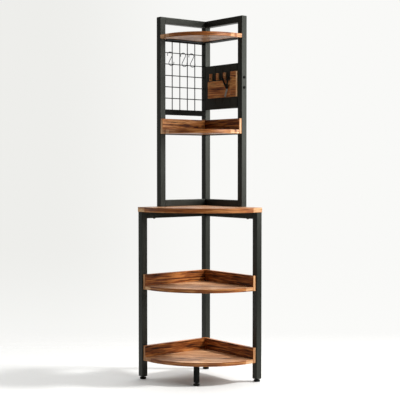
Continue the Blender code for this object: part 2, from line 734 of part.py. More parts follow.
def add_twin_hook(along, height, seat):
    """Add the two-pronged hook and the bright steel plate that it is riveted to."""
    drop = PLATE_DROP_SHARE * PLATE_HEIGHT
    middle = spot(RIGHT, along - drop * math.sin(PLATE_TILT), seat + PLATE_THICKNESS / 2,
                  height - drop * math.cos(PLATE_TILT))
    half = Vector((PLATE_WIDTH / 2, PLATE_THICKNESS / 2, PLATE_HEIGHT / 2))
    plate = add_box("hook_plate", -half, half, BRIGHT_STEEL)
    plate.matrix_world = Matrix.Translation(middle) @ Matrix.Rotation(PLATE_TILT, 4, "Y")
    face = seat + PLATE_THICKNESS + SEAT_GAP
    hub = add_rod("twin_hook", spot(RIGHT, along, face, height),
                  spot(RIGHT, along, face + TWIN_HUB_DEPTH, height),
                  TWIN_HUB_RADIUS, BORE_STEPS, BLACK_STEEL)
    for name, side in (("left", -1.0), ("right", 1.0)):
        points = []
        for step in range(TWIN_STEPS):
            run = step / (TWIN_STEPS - 1)
            points.append(Vector((side * TWIN_SPREAD * run ** TWIN_FLARE_POWER,
                                  -TWIN_REACH * math.sin(run * math.pi / 2),
                                  TWIN_RISE * run)))
        root = spot(RIGHT, along, face + TWIN_HUB_DEPTH / 2 + TWIN_PRONG_RADIUS / 2, height)
        shape = wire_shape(f"{name} prong", points, TWIN_PRONG_RADIUS)
        prong = curve_to_piece(f"twin hook {name} prong", shape, None, Matrix.Translation(root), CUTTERS)
        shade_round(prong)
        combine(hub, prong, "UNION")
    shade_round(hub)


def build_rack():
    """Build the whole rack from the floor up."""
    aprons = add_lower_frame()
    add_front_leg()
    for name, underside in (("bottom_shelf", BOTTOM_SHELF_HEIGHT), ("mid_shelf", MID_SHELF_HEIGHT)):
        add_lipped_shelf(name, LOWER_SHELF_SIDE, LOWER_FLAT_END, LOWER_BOW, underside)
    add_counter(aprons)
    posts = add_hutch_frame()
    add_lipped_shelf("hutch_shelf", UPPER_SIDE, UPPER_FLAT_END, UPPER_BOW, HUTCH_SHELF_HEIGHT)
    add_strips("hutch_shelf", HUTCH_SHELF_HEIGHT)
    add_board("top_shelf_board", FRONT_OF_TUBE, UPPER_SIDE, UPPER_FLAT_END, UPPER_BOW,
              TOP_SHELF_HEIGHT, BOARD_THICKNESS)
    add_strips("top_shelf", TOP_SHELF_HEIGHT)
    add_grid()
    add_hooks()
    add_tool_panel(posts["right"])
    add_tool_holder()


build_rack()
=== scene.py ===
# %% [markdown]
# A corner shelving rack, dressed for the camera.
#
# The rack is square steel tube, powder coated black, that carries quarter-round boards of
# rustic brown laminate.  Every solid of the construction is already there at its real size.
# This file replaces each of them with a finer surface and gives it a finish.  All lengths are
# metres and +Z is up.  The rack stands in a room's corner, so many places are given as a
# distance along a wall and a distance out from it.

# %% Load the rack's solids as the fixed frame
import json

import bmesh
import bpy
import numpy as np
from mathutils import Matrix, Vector


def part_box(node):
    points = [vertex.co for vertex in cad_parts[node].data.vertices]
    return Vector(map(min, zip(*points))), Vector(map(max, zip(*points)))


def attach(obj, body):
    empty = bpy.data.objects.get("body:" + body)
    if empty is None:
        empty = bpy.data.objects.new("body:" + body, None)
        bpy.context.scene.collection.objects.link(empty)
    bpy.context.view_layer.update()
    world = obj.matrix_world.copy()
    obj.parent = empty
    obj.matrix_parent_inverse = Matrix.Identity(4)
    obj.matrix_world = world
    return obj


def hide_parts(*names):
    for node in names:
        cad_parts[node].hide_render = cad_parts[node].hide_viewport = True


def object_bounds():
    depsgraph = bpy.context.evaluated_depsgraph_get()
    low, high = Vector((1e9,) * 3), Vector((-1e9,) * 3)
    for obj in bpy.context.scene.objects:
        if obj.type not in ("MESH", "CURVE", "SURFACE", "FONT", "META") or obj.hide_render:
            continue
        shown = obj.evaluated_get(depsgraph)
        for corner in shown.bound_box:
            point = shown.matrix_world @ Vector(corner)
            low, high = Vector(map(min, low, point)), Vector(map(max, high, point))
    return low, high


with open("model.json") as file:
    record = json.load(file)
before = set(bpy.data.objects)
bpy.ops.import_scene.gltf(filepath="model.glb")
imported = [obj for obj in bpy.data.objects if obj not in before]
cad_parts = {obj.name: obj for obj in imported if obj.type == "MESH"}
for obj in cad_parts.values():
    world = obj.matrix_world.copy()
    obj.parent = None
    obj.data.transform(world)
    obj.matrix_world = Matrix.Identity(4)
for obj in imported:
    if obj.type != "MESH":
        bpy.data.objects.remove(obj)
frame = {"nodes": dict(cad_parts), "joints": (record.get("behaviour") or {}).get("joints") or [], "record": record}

CAD_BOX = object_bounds()
ROOM_CORNER = np.array([CAD_BOX[0].x, CAD_BOX[1].y, 0.0])
BODY_OF = {node: body for body, nodes in frame["record"]["behaviour"]["bodies"].items() for node in nodes}
print("solids:", len(frame["nodes"]), "box:", CAD_BOX)


def node_box(node):
    """Lowest and highest corner of one solid, as arrays."""
    low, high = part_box(node)
    return np.array(low), np.array(high)


def unit(vector):
    """The same direction with a length of one; works on rows of vectors too."""
    return vector / np.linalg.norm(vector, axis=-1, keepdims=True)


# %% [markdown]
# The camera comes first, because it decides which details are worth making.  Its place,
# direction and lens were worked out from the edges of posts and boards, so that the rack
# stands in the frame as it does in the reference.

# %% Camera
CAMERA_PLACE = (3.6717, -2.9087, 0.9861)
CAMERA_DIRECTION = (-0.7832, 0.6210, -0.0330)
CAMERA_LENS_MM = 91.93
CAMERA_SENSOR_MM = 36.0
CAMERA_FAR = 60.0

camera_data = bpy.data.cameras.new("Camera")
camera_data.lens = CAMERA_LENS_MM
camera_data.sensor_width = CAMERA_SENSOR_MM
camera_data.clip_end = CAMERA_FAR
camera = bpy.data.objects.new("Camera", camera_data)
camera.location = CAMERA_PLACE
camera.rotation_euler = Vector(CAMERA_DIRECTION).to_track_quat("-Z", "Y").to_euler()
bpy.context.scene.collection.objects.link(camera)
bpy.context.scene.camera = camera
bpy.context.scene.view_settings.view_transform = "Standard"
print("camera:", CAMERA_PLACE, "lens:", CAMERA_LENS_MM, "mm")

# %% [markdown]
# A finish is a small network of nodes.  Networks written out node by node are hard to read,
# so one helper adds a node, sets what it is told and joins its inputs.  A value becomes the
# socket's own number, and a socket becomes a link.  The rest are short names for nodes that
# come again and again.

# %% Helpers for node networks
SCREEN_WHITE = 255.0
SRGB_KNEE = 0.04045
SRGB_SLOPE = 12.92
SRGB_LIFT = 0.055
SRGB_POWER = 2.4
MIDDLE_GREY = 0.5


def paint(red, green, blue):
    """Colour as seen on a screen, 0 to 255, turned into the linear light that Blender uses."""
    seen = np.array([red, green, blue]) / SCREEN_WHITE
    curve = ((seen + SRGB_LIFT) / (1.0 + SRGB_LIFT)) ** SRGB_POWER
    return (*np.where(seen <= SRGB_KNEE, seen / SRGB_SLOPE, curve).tolist(), 1.0)


def node(tree, kind, inputs=None, **settings):
    """Add one node; inputs gives each socket a value or another node's socket."""
    made = tree.nodes.new(kind)
    for key, value in settings.items():
        setattr(made, key, value)
    for key, value in (inputs or {}).items():
        if isinstance(value, bpy.types.NodeSocket):
            tree.links.new(value, made.inputs[key])
        else:
            made.inputs[key].default_value = value
    return made


def maths(tree, operation, first, second, clamp=False):
    """One sum, product or comparison of two values or sockets."""
    made = node(tree, "ShaderNodeMath", {0: first, 1: second}, operation=operation, use_clamp=clamp)
    return made.outputs[0]


def times(tree, first, second, clamp=False):
    """The product of two values."""
    return maths(tree, "MULTIPLY", first, second, clamp)


def plus(tree, first, second):
    """The sum of two values."""
    return maths(tree, "ADD", first, second)


def minus(tree, first, second):
    """The first value less the second."""
    return maths(tree, "SUBTRACT", first, second)


def swing(tree, value, amount):
    """A value of 0 to 1 turned into a swing to both sides of zero."""
    return times(tree, minus(tree, value, MIDDLE_GREY), amount)


def vector_maths(tree, operation, first, second):
    """A vector from two vectors."""
    return node(tree, "ShaderNodeVectorMath", {0: first, 1: second}, operation=operation).outputs[0]


def along_way(tree, vector, way):
    """How far a vector points along a way: their dot product."""
    made = node(tree, "ShaderNodeVectorMath", {0: vector, 1: way}, operation="DOT_PRODUCT")
    return made.outputs["Value"]


def remap(tree, value, span, to_span=(0.0, 1.0)):
    """Stretch a value from one span to another with soft ends."""
    made = node(tree, "ShaderNodeMapRange", {"Value": value, "From Min": span[0], "From Max": span[1],
                                             "To Min": to_span[0], "To Max": to_span[1]},
                interpolation_type="SMOOTHSTEP")
    return made.outputs["Result"]


def blend_colours(tree, share, first, second):
    """Mix two colours; share 0 gives the first and 1 the second."""
    made = node(tree, "ShaderNodeMix", {"Factor": share, 6: first, 7: second}, data_type="RGBA")
    return made.outputs[2]


def blend_shaders(tree, share, first, second):
    """Mix two shaders; share 0 gives the first and 1 the second."""
    return node(tree, "ShaderNodeMixShader", {0: share, 1: first, 2: second}).outputs[0]


def noise(tree, vector, stretch, detail=3.0, roughness=0.55):
    """Noise seen through a stretched vector; stretch is how many features a metre holds each way."""
    moved = vector_maths(tree, "MULTIPLY", vector, stretch)
    made = node(tree, "ShaderNodeTexNoise", {"Vector": moved, "Scale": 1.0, "Detail": detail,
                                             "Roughness": roughness})
    return made.outputs[0]


def new_group(name, inputs, outputs):
    """Start a node group with named sockets and return its tree, its inputs and its output node."""
    tree = bpy.data.node_groups.new(name, "ShaderNodeTree")
    for label, kind, value in inputs:
        socket = tree.interface.new_socket(label, in_out="INPUT", socket_type="NodeSocket" + kind)
        if value is not None:
            socket.default_value = value
    for label, kind in outputs:
        tree.interface.new_socket(label, in_out="OUTPUT", socket_type="NodeSocket" + kind)
    start = tree.nodes.new("NodeGroupInput")
    end = tree.nodes.new("NodeGroupOutput")
    return tree, start.outputs, end


def finish_group(tree, end, results):
    """Join a group's results to its named outputs."""
    for label, socket in results.items():
        tree.links.new(socket, end.inputs[label])
    return tree


def use_group(tree, group, inputs):
    """Place a node group in a material or another group."""
    return node(tree, "ShaderNodeGroup", inputs, node_tree=group).outputs


# %% [markdown]
# Rustic laminate is a printed photograph of old planks under a clear satin film.  Its look
# comes from streaks of very different length and width that all run one way, a few knots, and
# dark lines where the print shows cracks.  Noise stretched a lot along the grain gives the
# streaks.  A slow wander added across the grain first bends them all together, as growth
# rings bend round a knot.  How far they wander is an input, because the tool holder's wood is
# more figured than the boards.

# %% Rustic grain as a node group
PLAIN_WANDER = 0.014
HOLDER_WANDER = 0.045
SLOW_STRETCH = (4.0, 11.0, 1.0)
BROAD_STRETCH = (3.6, 46.0, 1.0)
STREAK_STRETCH = (9.0, 140.0, 1.0)
FIBRE_STRETCH = (40.0, 1300.0, 1.0)
CRACK_STRETCH = (7.0, 150.0, 1.0)
KNOT_STRETCH = (5.5, 17.0, 1.0)
KNOT_CHOICE = 0.62
KNOT_SPAN = (0.30, 0.04)
CRACK_SPAN = (0.40, 0.33)
BROAD_SHARE = 0.36
STREAK_SHARE = 0.64
FIBRE_SHARE = 0.16
KNOT_DARKENS = 0.20
CRACK_DARKENS = 0.17
MIDDLE_SPAN = (0.36, 0.49)
LIGHT_SPAN = (0.49, 0.60)
HEIGHT_SHARE = 0.5


def make_grain_group():
    """Grain in metres: X runs along it and Y across it.

    tone = broad and streak noise + fibre - knots - cracks, and the colour goes from dark by
    way of middle to light as the tone rises.
    """
    tree, given, end = new_group(
        "Rustic grain",
        [("Grain", "Vector", None), ("Dark", "Color", (0.05, 0.02, 0.01, 1.0)),
         ("Middle", "Color", (0.25, 0.1, 0.03, 1.0)), ("Light", "Color", (0.5, 0.25, 0.1, 1.0)),
         ("Streaks", "Float", 1.0), ("Knots", "Float", 1.0), ("Wander", "Float", PLAIN_WANDER)],
        [("Colour", "Color"), ("Height", "Float"), ("Gloss", "Float")])
    wander = swing(tree, noise(tree, given["Grain"], SLOW_STRETCH, detail=2.0), given["Wander"])
    across = node(tree, "ShaderNodeCombineXYZ", {"Y": wander}).outputs[0]
    bent = vector_maths(tree, "ADD", given["Grain"], across)
    broad = noise(tree, bent, BROAD_STRETCH, roughness=0.5)
    streak = noise(tree, bent, STREAK_STRETCH)
    fibre = noise(tree, bent, FIBRE_STRETCH, detail=2.0)
    crack = noise(tree, bent, CRACK_STRETCH, detail=2.0, roughness=0.4)
    knot = node(tree, "ShaderNodeTexVoronoi",
                {"Vector": vector_maths(tree, "MULTIPLY", bent, KNOT_STRETCH), "Scale": 1.0},
                voronoi_dimensions="2D").outputs
    draw = node(tree, "ShaderNodeSeparateColor", {"Color": knot["Color"]}).outputs[0]
    chosen = maths(tree, "GREATER_THAN", draw, KNOT_CHOICE)
    near = remap(tree, knot["Distance"], KNOT_SPAN)
    knot_mask = times(tree, times(tree, near, chosen), given["Knots"])
    crack_mask = times(tree, remap(tree, crack, CRACK_SPAN), given["Streaks"])
    tone = plus(tree, times(tree, broad, BROAD_SHARE), times(tree, streak, STREAK_SHARE))
    tone = plus(tree, tone, swing(tree, fibre, FIBRE_SHARE))
    tone = minus(tree, tone, times(tree, knot_mask, KNOT_DARKENS))
    tone = minus(tree, tone, times(tree, crack_mask, CRACK_DARKENS))
    shade = blend_colours(tree, remap(tree, tone, MIDDLE_SPAN), given["Dark"], given["Middle"])
    shade = blend_colours(tree, remap(tree, tone, LIGHT_SPAN), shade, given["Light"])
    height = plus(tree, times(tree, fibre, HEIGHT_SHARE), times(tree, tone, HEIGHT_SHARE))
    return finish_group(tree, end, {"Colour": shade, "Height": height, "Gloss": streak})


GRAIN = make_grain_group()
print("grain nodes:", len(GRAIN.nodes))

# %% [markdown]
# Powder coat is plastic dust that was sprayed dry and melted on.  It flows out with a fine
# orange-peel texture, and moulded black plastic has a texture of much the same kind.  So one
# group makes both: a fine bump and a slow drift of tone and roughness.  Two more groups make
# masks: a rubbed look along the edges, and a little pale dust where a face looks up.

# %% Textured coat, rubbed edges and dust as node groups
DRIFT_STRETCH = (9.0, 9.0, 5.0)
DRIFT_LIGHTENS = 1.35
DRIFT_ROUGHENS = 0.22
PATCH_STRETCH = (60.0, 60.0, 60.0)
PATCH_SPAN = (0.42, 0.70)
EDGE_SPAN = (0.25, 1.0)
DUST_STRETCH = (35.0, 35.0, 35.0)
DUST_SPAN = (0.30, 0.75)
LYING_SPAN = (0.55, 0.98)
DUST_COLOUR = paint(176, 170, 160)


def make_coat_group():
    """Fine texture of a sprayed or moulded black surface."""
    tree, given, end = new_group(
        "Textured coat",
        [("Place", "Vector", None), ("Colour", "Color", (0.02, 0.02, 0.02, 1.0)),
         ("Grains in a metre", "Float", 1500.0), ("Roughness", "Float", 0.45)],
        [("Colour", "Color"), ("Height", "Float"), ("Roughness", "Float")])
    pitch = node(tree, "ShaderNodeCombineXYZ", dict.fromkeys("XYZ", given["Grains in a metre"])).outputs[0]
    fine = noise(tree, given["Place"], pitch, detail=2.0)
    drift = noise(tree, given["Place"], DRIFT_STRETCH)
    lighter = node(tree, "ShaderNodeHueSaturation",
                   {"Value": DRIFT_LIGHTENS, "Color": given["Colour"]}).outputs[0]
    colour = blend_colours(tree, drift, given["Colour"], lighter)
    rough = plus(tree, given["Roughness"], swing(tree, drift, DRIFT_ROUGHENS))
    return finish_group(tree, end, {"Colour": colour, "Height": fine, "Roughness": rough})


def make_mask_group(name, label, span, stretch, detail, patch_span, amount):
    """A mask: how far one value has come through its span, broken up by patches of noise."""
    tree, given, end = new_group(
        name, [(label, "Float", 0.0), ("Place", "Vector", None), ("Amount", "Float", amount)],
        [("Mask", "Float")])
    patches = remap(tree, noise(tree, given["Place"], stretch, detail=detail), patch_span)
    here = times(tree, remap(tree, given[label], span), patches)
    return finish_group(tree, end, {"Mask": times(tree, here, given["Amount"], clamp=True)})


COAT = make_coat_group()
WEAR = make_mask_group("Rubbed edges", "Edge", EDGE_SPAN, PATCH_STRETCH, detail=4.0,
                       patch_span=PATCH_SPAN, amount=0.5)
DUST = make_mask_group("Dust", "Facing up", LYING_SPAN, DUST_STRETCH, detail=5.0,
                       patch_span=DUST_SPAN, amount=0.1)
print("masks:", WEAR.name, "and", DUST.name)

# %% [markdown]
# A material joins the groups to a Principled shader.  Numbers that are the same all over, such as
# how strongly a surface mirrors, stay on the shader itself, so that they survive an export.
# The boards, the lips, the tool holder and the light ends each have colours of their own in
# the same print.  The boards' faces are a lighter, paler copy of the lips' print.  That is painted
# light and a painted pale sheen for the light their tops catch.  The hutch's left lip has a
# lighter copy that is painted light too.  The black coats reflect with a faintly green tint.  The
# matt black coat is also painted shade on the front leg and the grid's rail.

# %% The rack's materials
BOARD_WEAR = 0.55
BOARD_DUST = 0.02
BLACK_DUST = 0.10
GLOSS_SPAN = (0.35, 0.65)
GLOSS_ROUGHENS = 0.06
GLOSS_SMOOTHS = 0.05
RUBBED_ROUGHENS = 0.2
GRAIN_BUMP = (0.35, 0.0004)
COAT_BUMP_DISTANCE = 0.0002
COAT_TINT = (0.97, 1.0, 0.88, 1.0)
BRUSHED_STRETCH = (2600.0, 2600.0, 40.0)
BRUSHED_DARK = paint(150, 143, 133)
BRUSHED_LIGHT = paint(208, 202, 192)
BRUSHED_SPAN = (0.3, 0.7)
BRUSHED_ROUGHNESS = (0.24, 0.42)
BRUSHED_METALLIC = 0.6
BRUSHED_BUMP = (0.25, 0.0001)


def new_material(name):
    """An empty material with its shader; returns material, tree and shader."""
    material = bpy.data.materials.new(name)
    material.use_nodes = True
    tree = material.node_tree
    return material, tree, tree.nodes["Principled BSDF"]


def finish_shader(tree, shader, colour, roughness, height, strength, distance):
    """Join colour and roughness to the shader, and let a height field shade the surface."""
    tree.links.new(colour, shader.inputs["Base Color"])
    tree.links.new(roughness, shader.inputs["Roughness"])
    bump = node(tree, "ShaderNodeBump", {"Height": height, "Strength": strength, "Distance": distance})
    tree.links.new(bump.outputs[0], shader.inputs["Normal"])


def worn_and_dusty(tree, place, colour, worn, wear, dust):
    """Lay rubbed edges and dust over a colour; returns the colour and the rubbed mask."""
    edge = node(tree, "ShaderNodeAttribute", None, attribute_name="edge").outputs["Fac"]
    facing = node(tree, "ShaderNodeNewGeometry").outputs["Normal"]
    up = node(tree, "ShaderNodeSeparateXYZ", {0: facing}).outputs["Z"]
    rubbed = use_group(tree, WEAR, {"Edge": edge, "Place": place, "Amount": wear})["Mask"]
    dusty = use_group(tree, DUST, {"Facing up": up, "Place": place, "Amount": dust})["Mask"]
    colour = blend_colours(tree, rubbed, colour, worn)
    return blend_colours(tree, dusty, colour, DUST_COLOUR), rubbed


def make_board_material(name, dark, middle, light, worn, streaks, knots, roughness=0.36, shine=0.42,
                        wander=PLAIN_WANDER):
    """Printed wood grain from four colours as seen on a screen; shine is how strongly it mirrors."""
    material, tree, shader = new_material(name)
    place = node(tree, "ShaderNodeTexCoord").outputs["Object"]
    grain = node(tree, "ShaderNodeUVMap", None, uv_map="grain").outputs[0]
    wood = use_group(tree, GRAIN, {"Grain": grain, "Dark": paint(*dark), "Middle": paint(*middle),
                                   "Light": paint(*light), "Streaks": streaks, "Knots": knots,
                                   "Wander": wander})
    colour, rubbed = worn_and_dusty(tree, place, wood["Colour"], paint(*worn), BOARD_WEAR, BOARD_DUST)
    gloss = remap(tree, wood["Gloss"], GLOSS_SPAN, (roughness + GLOSS_ROUGHENS, roughness - GLOSS_SMOOTHS))
    rough = plus(tree, gloss, times(tree, rubbed, RUBBED_ROUGHENS))
    shader.inputs["Specular IOR Level"].default_value = shine
    finish_shader(tree, shader, colour, rough, wood["Height"], *GRAIN_BUMP)
    return material


def make_black_material(name, colour, bare, grains, roughness, bump, wear, shine):
    """Black coat or black plastic; bare is what a rubbed edge shows, shine how strongly it mirrors."""
    material, tree, shader = new_material(name)
    place = node(tree, "ShaderNodeTexCoord").outputs["Object"]
    coat = use_group(tree, COAT, {"Place": place, "Colour": paint(*colour), "Grains in a metre": grains,
                                  "Roughness": roughness})
    shade, rubbed = worn_and_dusty(tree, place, coat["Colour"], paint(*bare), wear, BLACK_DUST)
    shader.inputs["Specular IOR Level"].default_value = shine
    shader.inputs["Specular Tint"].default_value = COAT_TINT
    finish_shader(tree, shader, shade, coat["Roughness"], coat["Height"], bump, COAT_BUMP_DISTANCE)
    return material


def make_brushed_material(name):
    """Bright steel with fine lines left by an abrasive belt, upright on this plate."""
    material, tree, shader = new_material(name)
    place = node(tree, "ShaderNodeTexCoord").outputs["Object"]
    lines = noise(tree, place, BRUSHED_STRETCH)
    colour = blend_colours(tree, lines, BRUSHED_DARK, BRUSHED_LIGHT)
    rough = remap(tree, lines, BRUSHED_SPAN, BRUSHED_ROUGHNESS)
    shader.inputs["Metallic"].default_value = BRUSHED_METALLIC
    finish_shader(tree, shader, colour, rough, lines, *BRUSHED_BUMP)
    return material


# Painted light: the boards' print is a lighter, paler copy of the lips' one, for the light and pale sheen that
# their tops catch.
BOARD_FACE_WITH_PAINTED_LIGHT = make_board_material(
    "Rustic board face with painted light", dark=(86, 44, 22), middle=(174, 117, 72), light=(240, 196, 150),
    worn=(180, 130, 90), streaks=0.9, knots=0.7, roughness=0.40, shine=0.45)
LIP_FACE = make_board_material(
    "Rustic lip face", dark=(38, 12, 4), middle=(130, 70, 29), light=(198, 130, 70),
    worn=(160, 106, 62), streaks=1.3, knots=0.4, shine=0.22)
# Painted light: a lighter copy of the lips' print that brightens the hutch's left lip where the tool panel's
# shadow falls.
LIP_FACE_WITH_PAINTED_LIGHT = make_board_material(
    "Lip face with painted light", dark=(70, 30, 11), middle=(192, 118, 58), light=(250, 184, 116),
    worn=(180, 124, 76), streaks=1.3, knots=0.4, shine=0.22)
BOARD_EDGE = make_board_material(
    "Rustic edge band", dark=(96, 48, 18), middle=(170, 98, 44), light=(216, 146, 82),
    worn=(180, 124, 76), streaks=0.6, knots=0.1)
BOARD_END = make_board_material(
    "Light end band", dark=(160, 104, 60), middle=(216, 158, 106), light=(240, 194, 146),
    worn=(236, 196, 152), streaks=0.3, knots=0.2)
HOLDER_FACE = make_board_material(
    "Figured holder face", dark=(88, 40, 15), middle=(204, 122, 62), light=(246, 182, 112),
    worn=(240, 180, 120), streaks=1.0, knots=1.6, roughness=0.34, shine=0.22, wander=HOLDER_WANDER)
POWDER_BLACK = make_black_material(
    "Black powder coat", colour=(19, 21, 17), bare=(62, 62, 60), grains=1500.0, roughness=0.40,
    bump=0.20, wear=0.20, shine=0.42)
# A matt black coat for wires, hooks and bolts, which is also painted shade where it darkens the front leg and the
# grid's rail.
MATT_BLACK_AND_PAINTED_SHADE = make_black_material(
    "Matt black coat and painted shade", colour=(13, 13, 12), bare=(40, 40, 38), grains=1900.0, roughness=0.58,
    bump=0.15, wear=0.15, shine=0.12)
PANEL_BLACK = make_black_material(
    "Panel coat", colour=(54, 55, 50), bare=(70, 70, 66), grains=1500.0, roughness=0.55,
    bump=0.15, wear=0.15, shine=0.10)
PLASTIC_BLACK = make_black_material(
    "Moulded black plastic", colour=(14, 14, 14), bare=(40, 40, 40), grains=2600.0, roughness=0.5,
    bump=0.15, wear=0.10, shine=0.2)
BRIGHT_STEEL = make_brushed_material("Brushed bright steel")
SLOT_MATERIALS = {"rustic_board": (BOARD_FACE_WITH_PAINTED_LIGHT, BOARD_EDGE, BOARD_END), "black_steel": (POWDER_BLACK,),
                  "black_plastic": (PLASTIC_BLACK,), "bright_steel": (BRIGHT_STEEL,)}
MATT_AND_PAINTED_SHADE = (MATT_BLACK_AND_PAINTED_SHADE,)
print("materials:", len(bpy.data.materials))

# %% [markdown]
# Every new piece is one or more closed skins.  A skin starts as rings of points: a NumPy array
# of rows by columns by three.  The columns always close on themselves.  The rows close too, as
# on a ring doughnut, or end in flat caps or in poles.  A tube wall, a board, a foot and a bent
# wire are all such skins, so one function turns rings into faces.

# %% Helpers for skins
MERGE_DISTANCE = 0.000002
SHARP_ANGLE = np.radians(38.0)
ROUND_STEPS = 6


def ring_skin(rings, rows_close=False, caps=True, edge=0.0):
    """Skin over rings of points; edge says how much each point counts as an edge, 0 to 1."""
    rows, columns, _ = rings.shape
    steps = rows if rows_close else rows - 1
    row, column = np.meshgrid(np.arange(steps), np.arange(columns), indexing="ij")
    next_row = (row + 1) % rows
    next_column = (column + 1) % columns
    quads = np.stack([row * columns + column, row * columns + next_column,
                      next_row * columns + next_column, next_row * columns + column], -1)
    faces = quads.reshape(-1, 4).tolist()
    if caps and not rows_close:
        faces.append(list(range(columns)))
        faces.append(list(range((rows - 1) * columns, rows * columns)))
    edge = np.broadcast_to(edge, (rows, columns)).reshape(-1)
    return {"points": rings.reshape(-1, 3), "faces": faces, "edge": edge}


def add_piece(name, skins, nodes, slot="black_steel", body=None, finish=None):
    """Join skins into one object that stands for the given solids; finish overrides the slot's own."""
    start = 0
    faces = []
    for skin in skins:
        faces += [[index + start for index in face] for face in skin["faces"]]
        start += len(skin["points"])
    mesh = bpy.data.meshes.new(name)
    mesh.from_pydata(np.concatenate([skin["points"] for skin in skins]).tolist(), [], faces)
    edge = np.concatenate([skin["edge"] for skin in skins]).astype(np.float32)
    mesh.attributes.new("edge", "FLOAT", "POINT").data.foreach_set("value", edge)
    shape = bmesh.new()
    shape.from_mesh(mesh)
    bmesh.ops.remove_doubles(shape, verts=shape.verts, dist=MERGE_DISTANCE)
    bmesh.ops.dissolve_degenerate(shape, edges=shape.edges, dist=MERGE_DISTANCE)
    bmesh.ops.recalc_face_normals(shape, faces=shape.faces)
    shape.to_mesh(mesh)
    shape.free()
    piece = bpy.data.objects.new(name, mesh)
    bpy.context.scene.collection.objects.link(piece)
    for material in finish or SLOT_MATERIALS[slot]:
        mesh.materials.append(material)
    mesh.shade_smooth()
    mesh.set_sharp_from_angle(angle=SHARP_ANGLE)
    flat = piece.modifiers.new("Flat faces stay flat", "WEIGHTED_NORMAL")
    flat.keep_sharp = True
    if nodes:
        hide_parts(*nodes)
    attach(piece, body or BODY_OF[nodes[0]])
    return piece


def rounded_rectangle(width, height, radius, steps=ROUND_STEPS):
    """Closed outline of four quarter circles joined by straight sides, centred on zero.

    Each point is its corner circle's centre plus radius times (cos t, sin t).  Sizes may be
    columns of numbers, and the result then has one outline in each row.
    """
    quarter = np.repeat(np.arange(4), steps + 1)
    turn = (quarter + np.tile(np.linspace(0.0, 1.0, steps + 1), 4)) * np.pi / 2
    side_x = np.where((quarter == 0) | (quarter == 3), 1.0, -1.0)
    side_y = np.where(quarter < 2, 1.0, -1.0)
    x = side_x * (width / 2 - radius) + radius * np.cos(turn)
    y = side_y * (height / 2 - radius) + radius * np.sin(turn)
    return np.stack([x, y], -1)


def corner_weight(steps=ROUND_STEPS):
    """How much each point of a rounded rectangle counts as an edge: one at mid corner."""
    return np.tile(np.sin(np.linspace(0.0, np.pi, steps + 1)), 4)


def on_axis(rings, axis):
    """Turn points whose third number runs along the piece so that it runs along X, Y or Z."""
    return np.roll(rings, axis + 1, axis=-1)


# %% [markdown]
# Square tube is a thin wall bent round a square with soft corners, and its cut ends are
# deburred.  The wall's own section, a long thin rectangle with rounded ends, is carried round
# the square.  That gives the outside, the bore and both cut ends as one closed skin.

# %% Square tubes
TUBE_WALL = 0.0015
TUBE_CORNER = 0.0018
DEBURR = 0.0004
WALL_STEPS = 3
LEAST_RADIUS = 0.0002


def tube_skin(low, high, axis):
    """A hollow square tube that fills a box along one axis.

    Each ring is the square outline, moved in by as much as the wall's section lies inside it.
    """
    across = (axis + 1) % 3
    side = high[across] - low[across]
    section = rounded_rectangle(TUBE_WALL, high[axis] - low[axis], DEBURR, WALL_STEPS)
    inset = (section[:, 0] + TUBE_WALL / 2)[:, None]
    outline = rounded_rectangle(side - 2 * inset, side - 2 * inset,
                                np.maximum(TUBE_CORNER - inset, LEAST_RADIUS))
    rings = np.dstack([outline, np.broadcast_to(section[:, 1:], outline.shape[:2])])
    edge = np.maximum(corner_weight(WALL_STEPS)[:, None], corner_weight()[None, :])
    return ring_skin(on_axis(rings, axis) + (low + high) / 2, rows_close=True, edge=edge)


def long_axis(low, high):
    """The axis along which a box is longest."""
    return int(np.argmax(high - low))


TUBES = ("left_leg", "right_leg", "back_leg", "left_apron", "right_apron", "hutch_left_post",
         "hutch_right_post", "hutch_back_post", "hutch_left_top_rail", "hutch_right_top_rail",
         "hutch_left_base_rail", "hutch_right_base_rail", "grid_rail")
# The grid's rail takes the darker matt coat, which is painted shade.
for tube in TUBES:
    low, high = node_box(tube)
    add_piece(tube + "_tube", [tube_skin(low, high, long_axis(low, high))], [tube],
              finish=MATT_AND_PAINTED_SHADE if tube == "grid_rail" else None)
print("square tubes:", len(TUBES))

# %% [markdown]
# Flat bars, strips, lips and blocks are boxes with eased edges.  The outline in plan has small
# round corners, and a profile that rolls over the top and bottom edges is carried round it.

# %% Boxes with eased edges
EASE_STEPS = 4
CORNER_TO_EASE = 2.4
STRIP_EASE = 0.0004
STRIP_CORNER = 0.003


def eased_profile(height, ease):
    """Rows of (inset, height) from a flat top over a round edge, down, and under again.

    The edge is a quarter circle: inset = ease * (1 - sin t), drop = ease * (1 - cos t).
    """
    turn = np.linspace(0.0, np.pi / 2, EASE_STEPS + 1)
    support = min(ease, height / 2 - ease)
    top = np.stack([ease * (1 - np.sin(turn)), height - ease * (1 - np.cos(turn))], 1)
    top = np.vstack([[ease + support, height], top, [0.0, height - ease - support]])
    bottom = np.stack([top[::-1, 0], height - top[::-1, 1]], 1)
    weight = np.sin(np.linspace(0.0, np.pi, EASE_STEPS + 3))
    return np.vstack([top, bottom]), np.concatenate([weight, weight])[:, None]


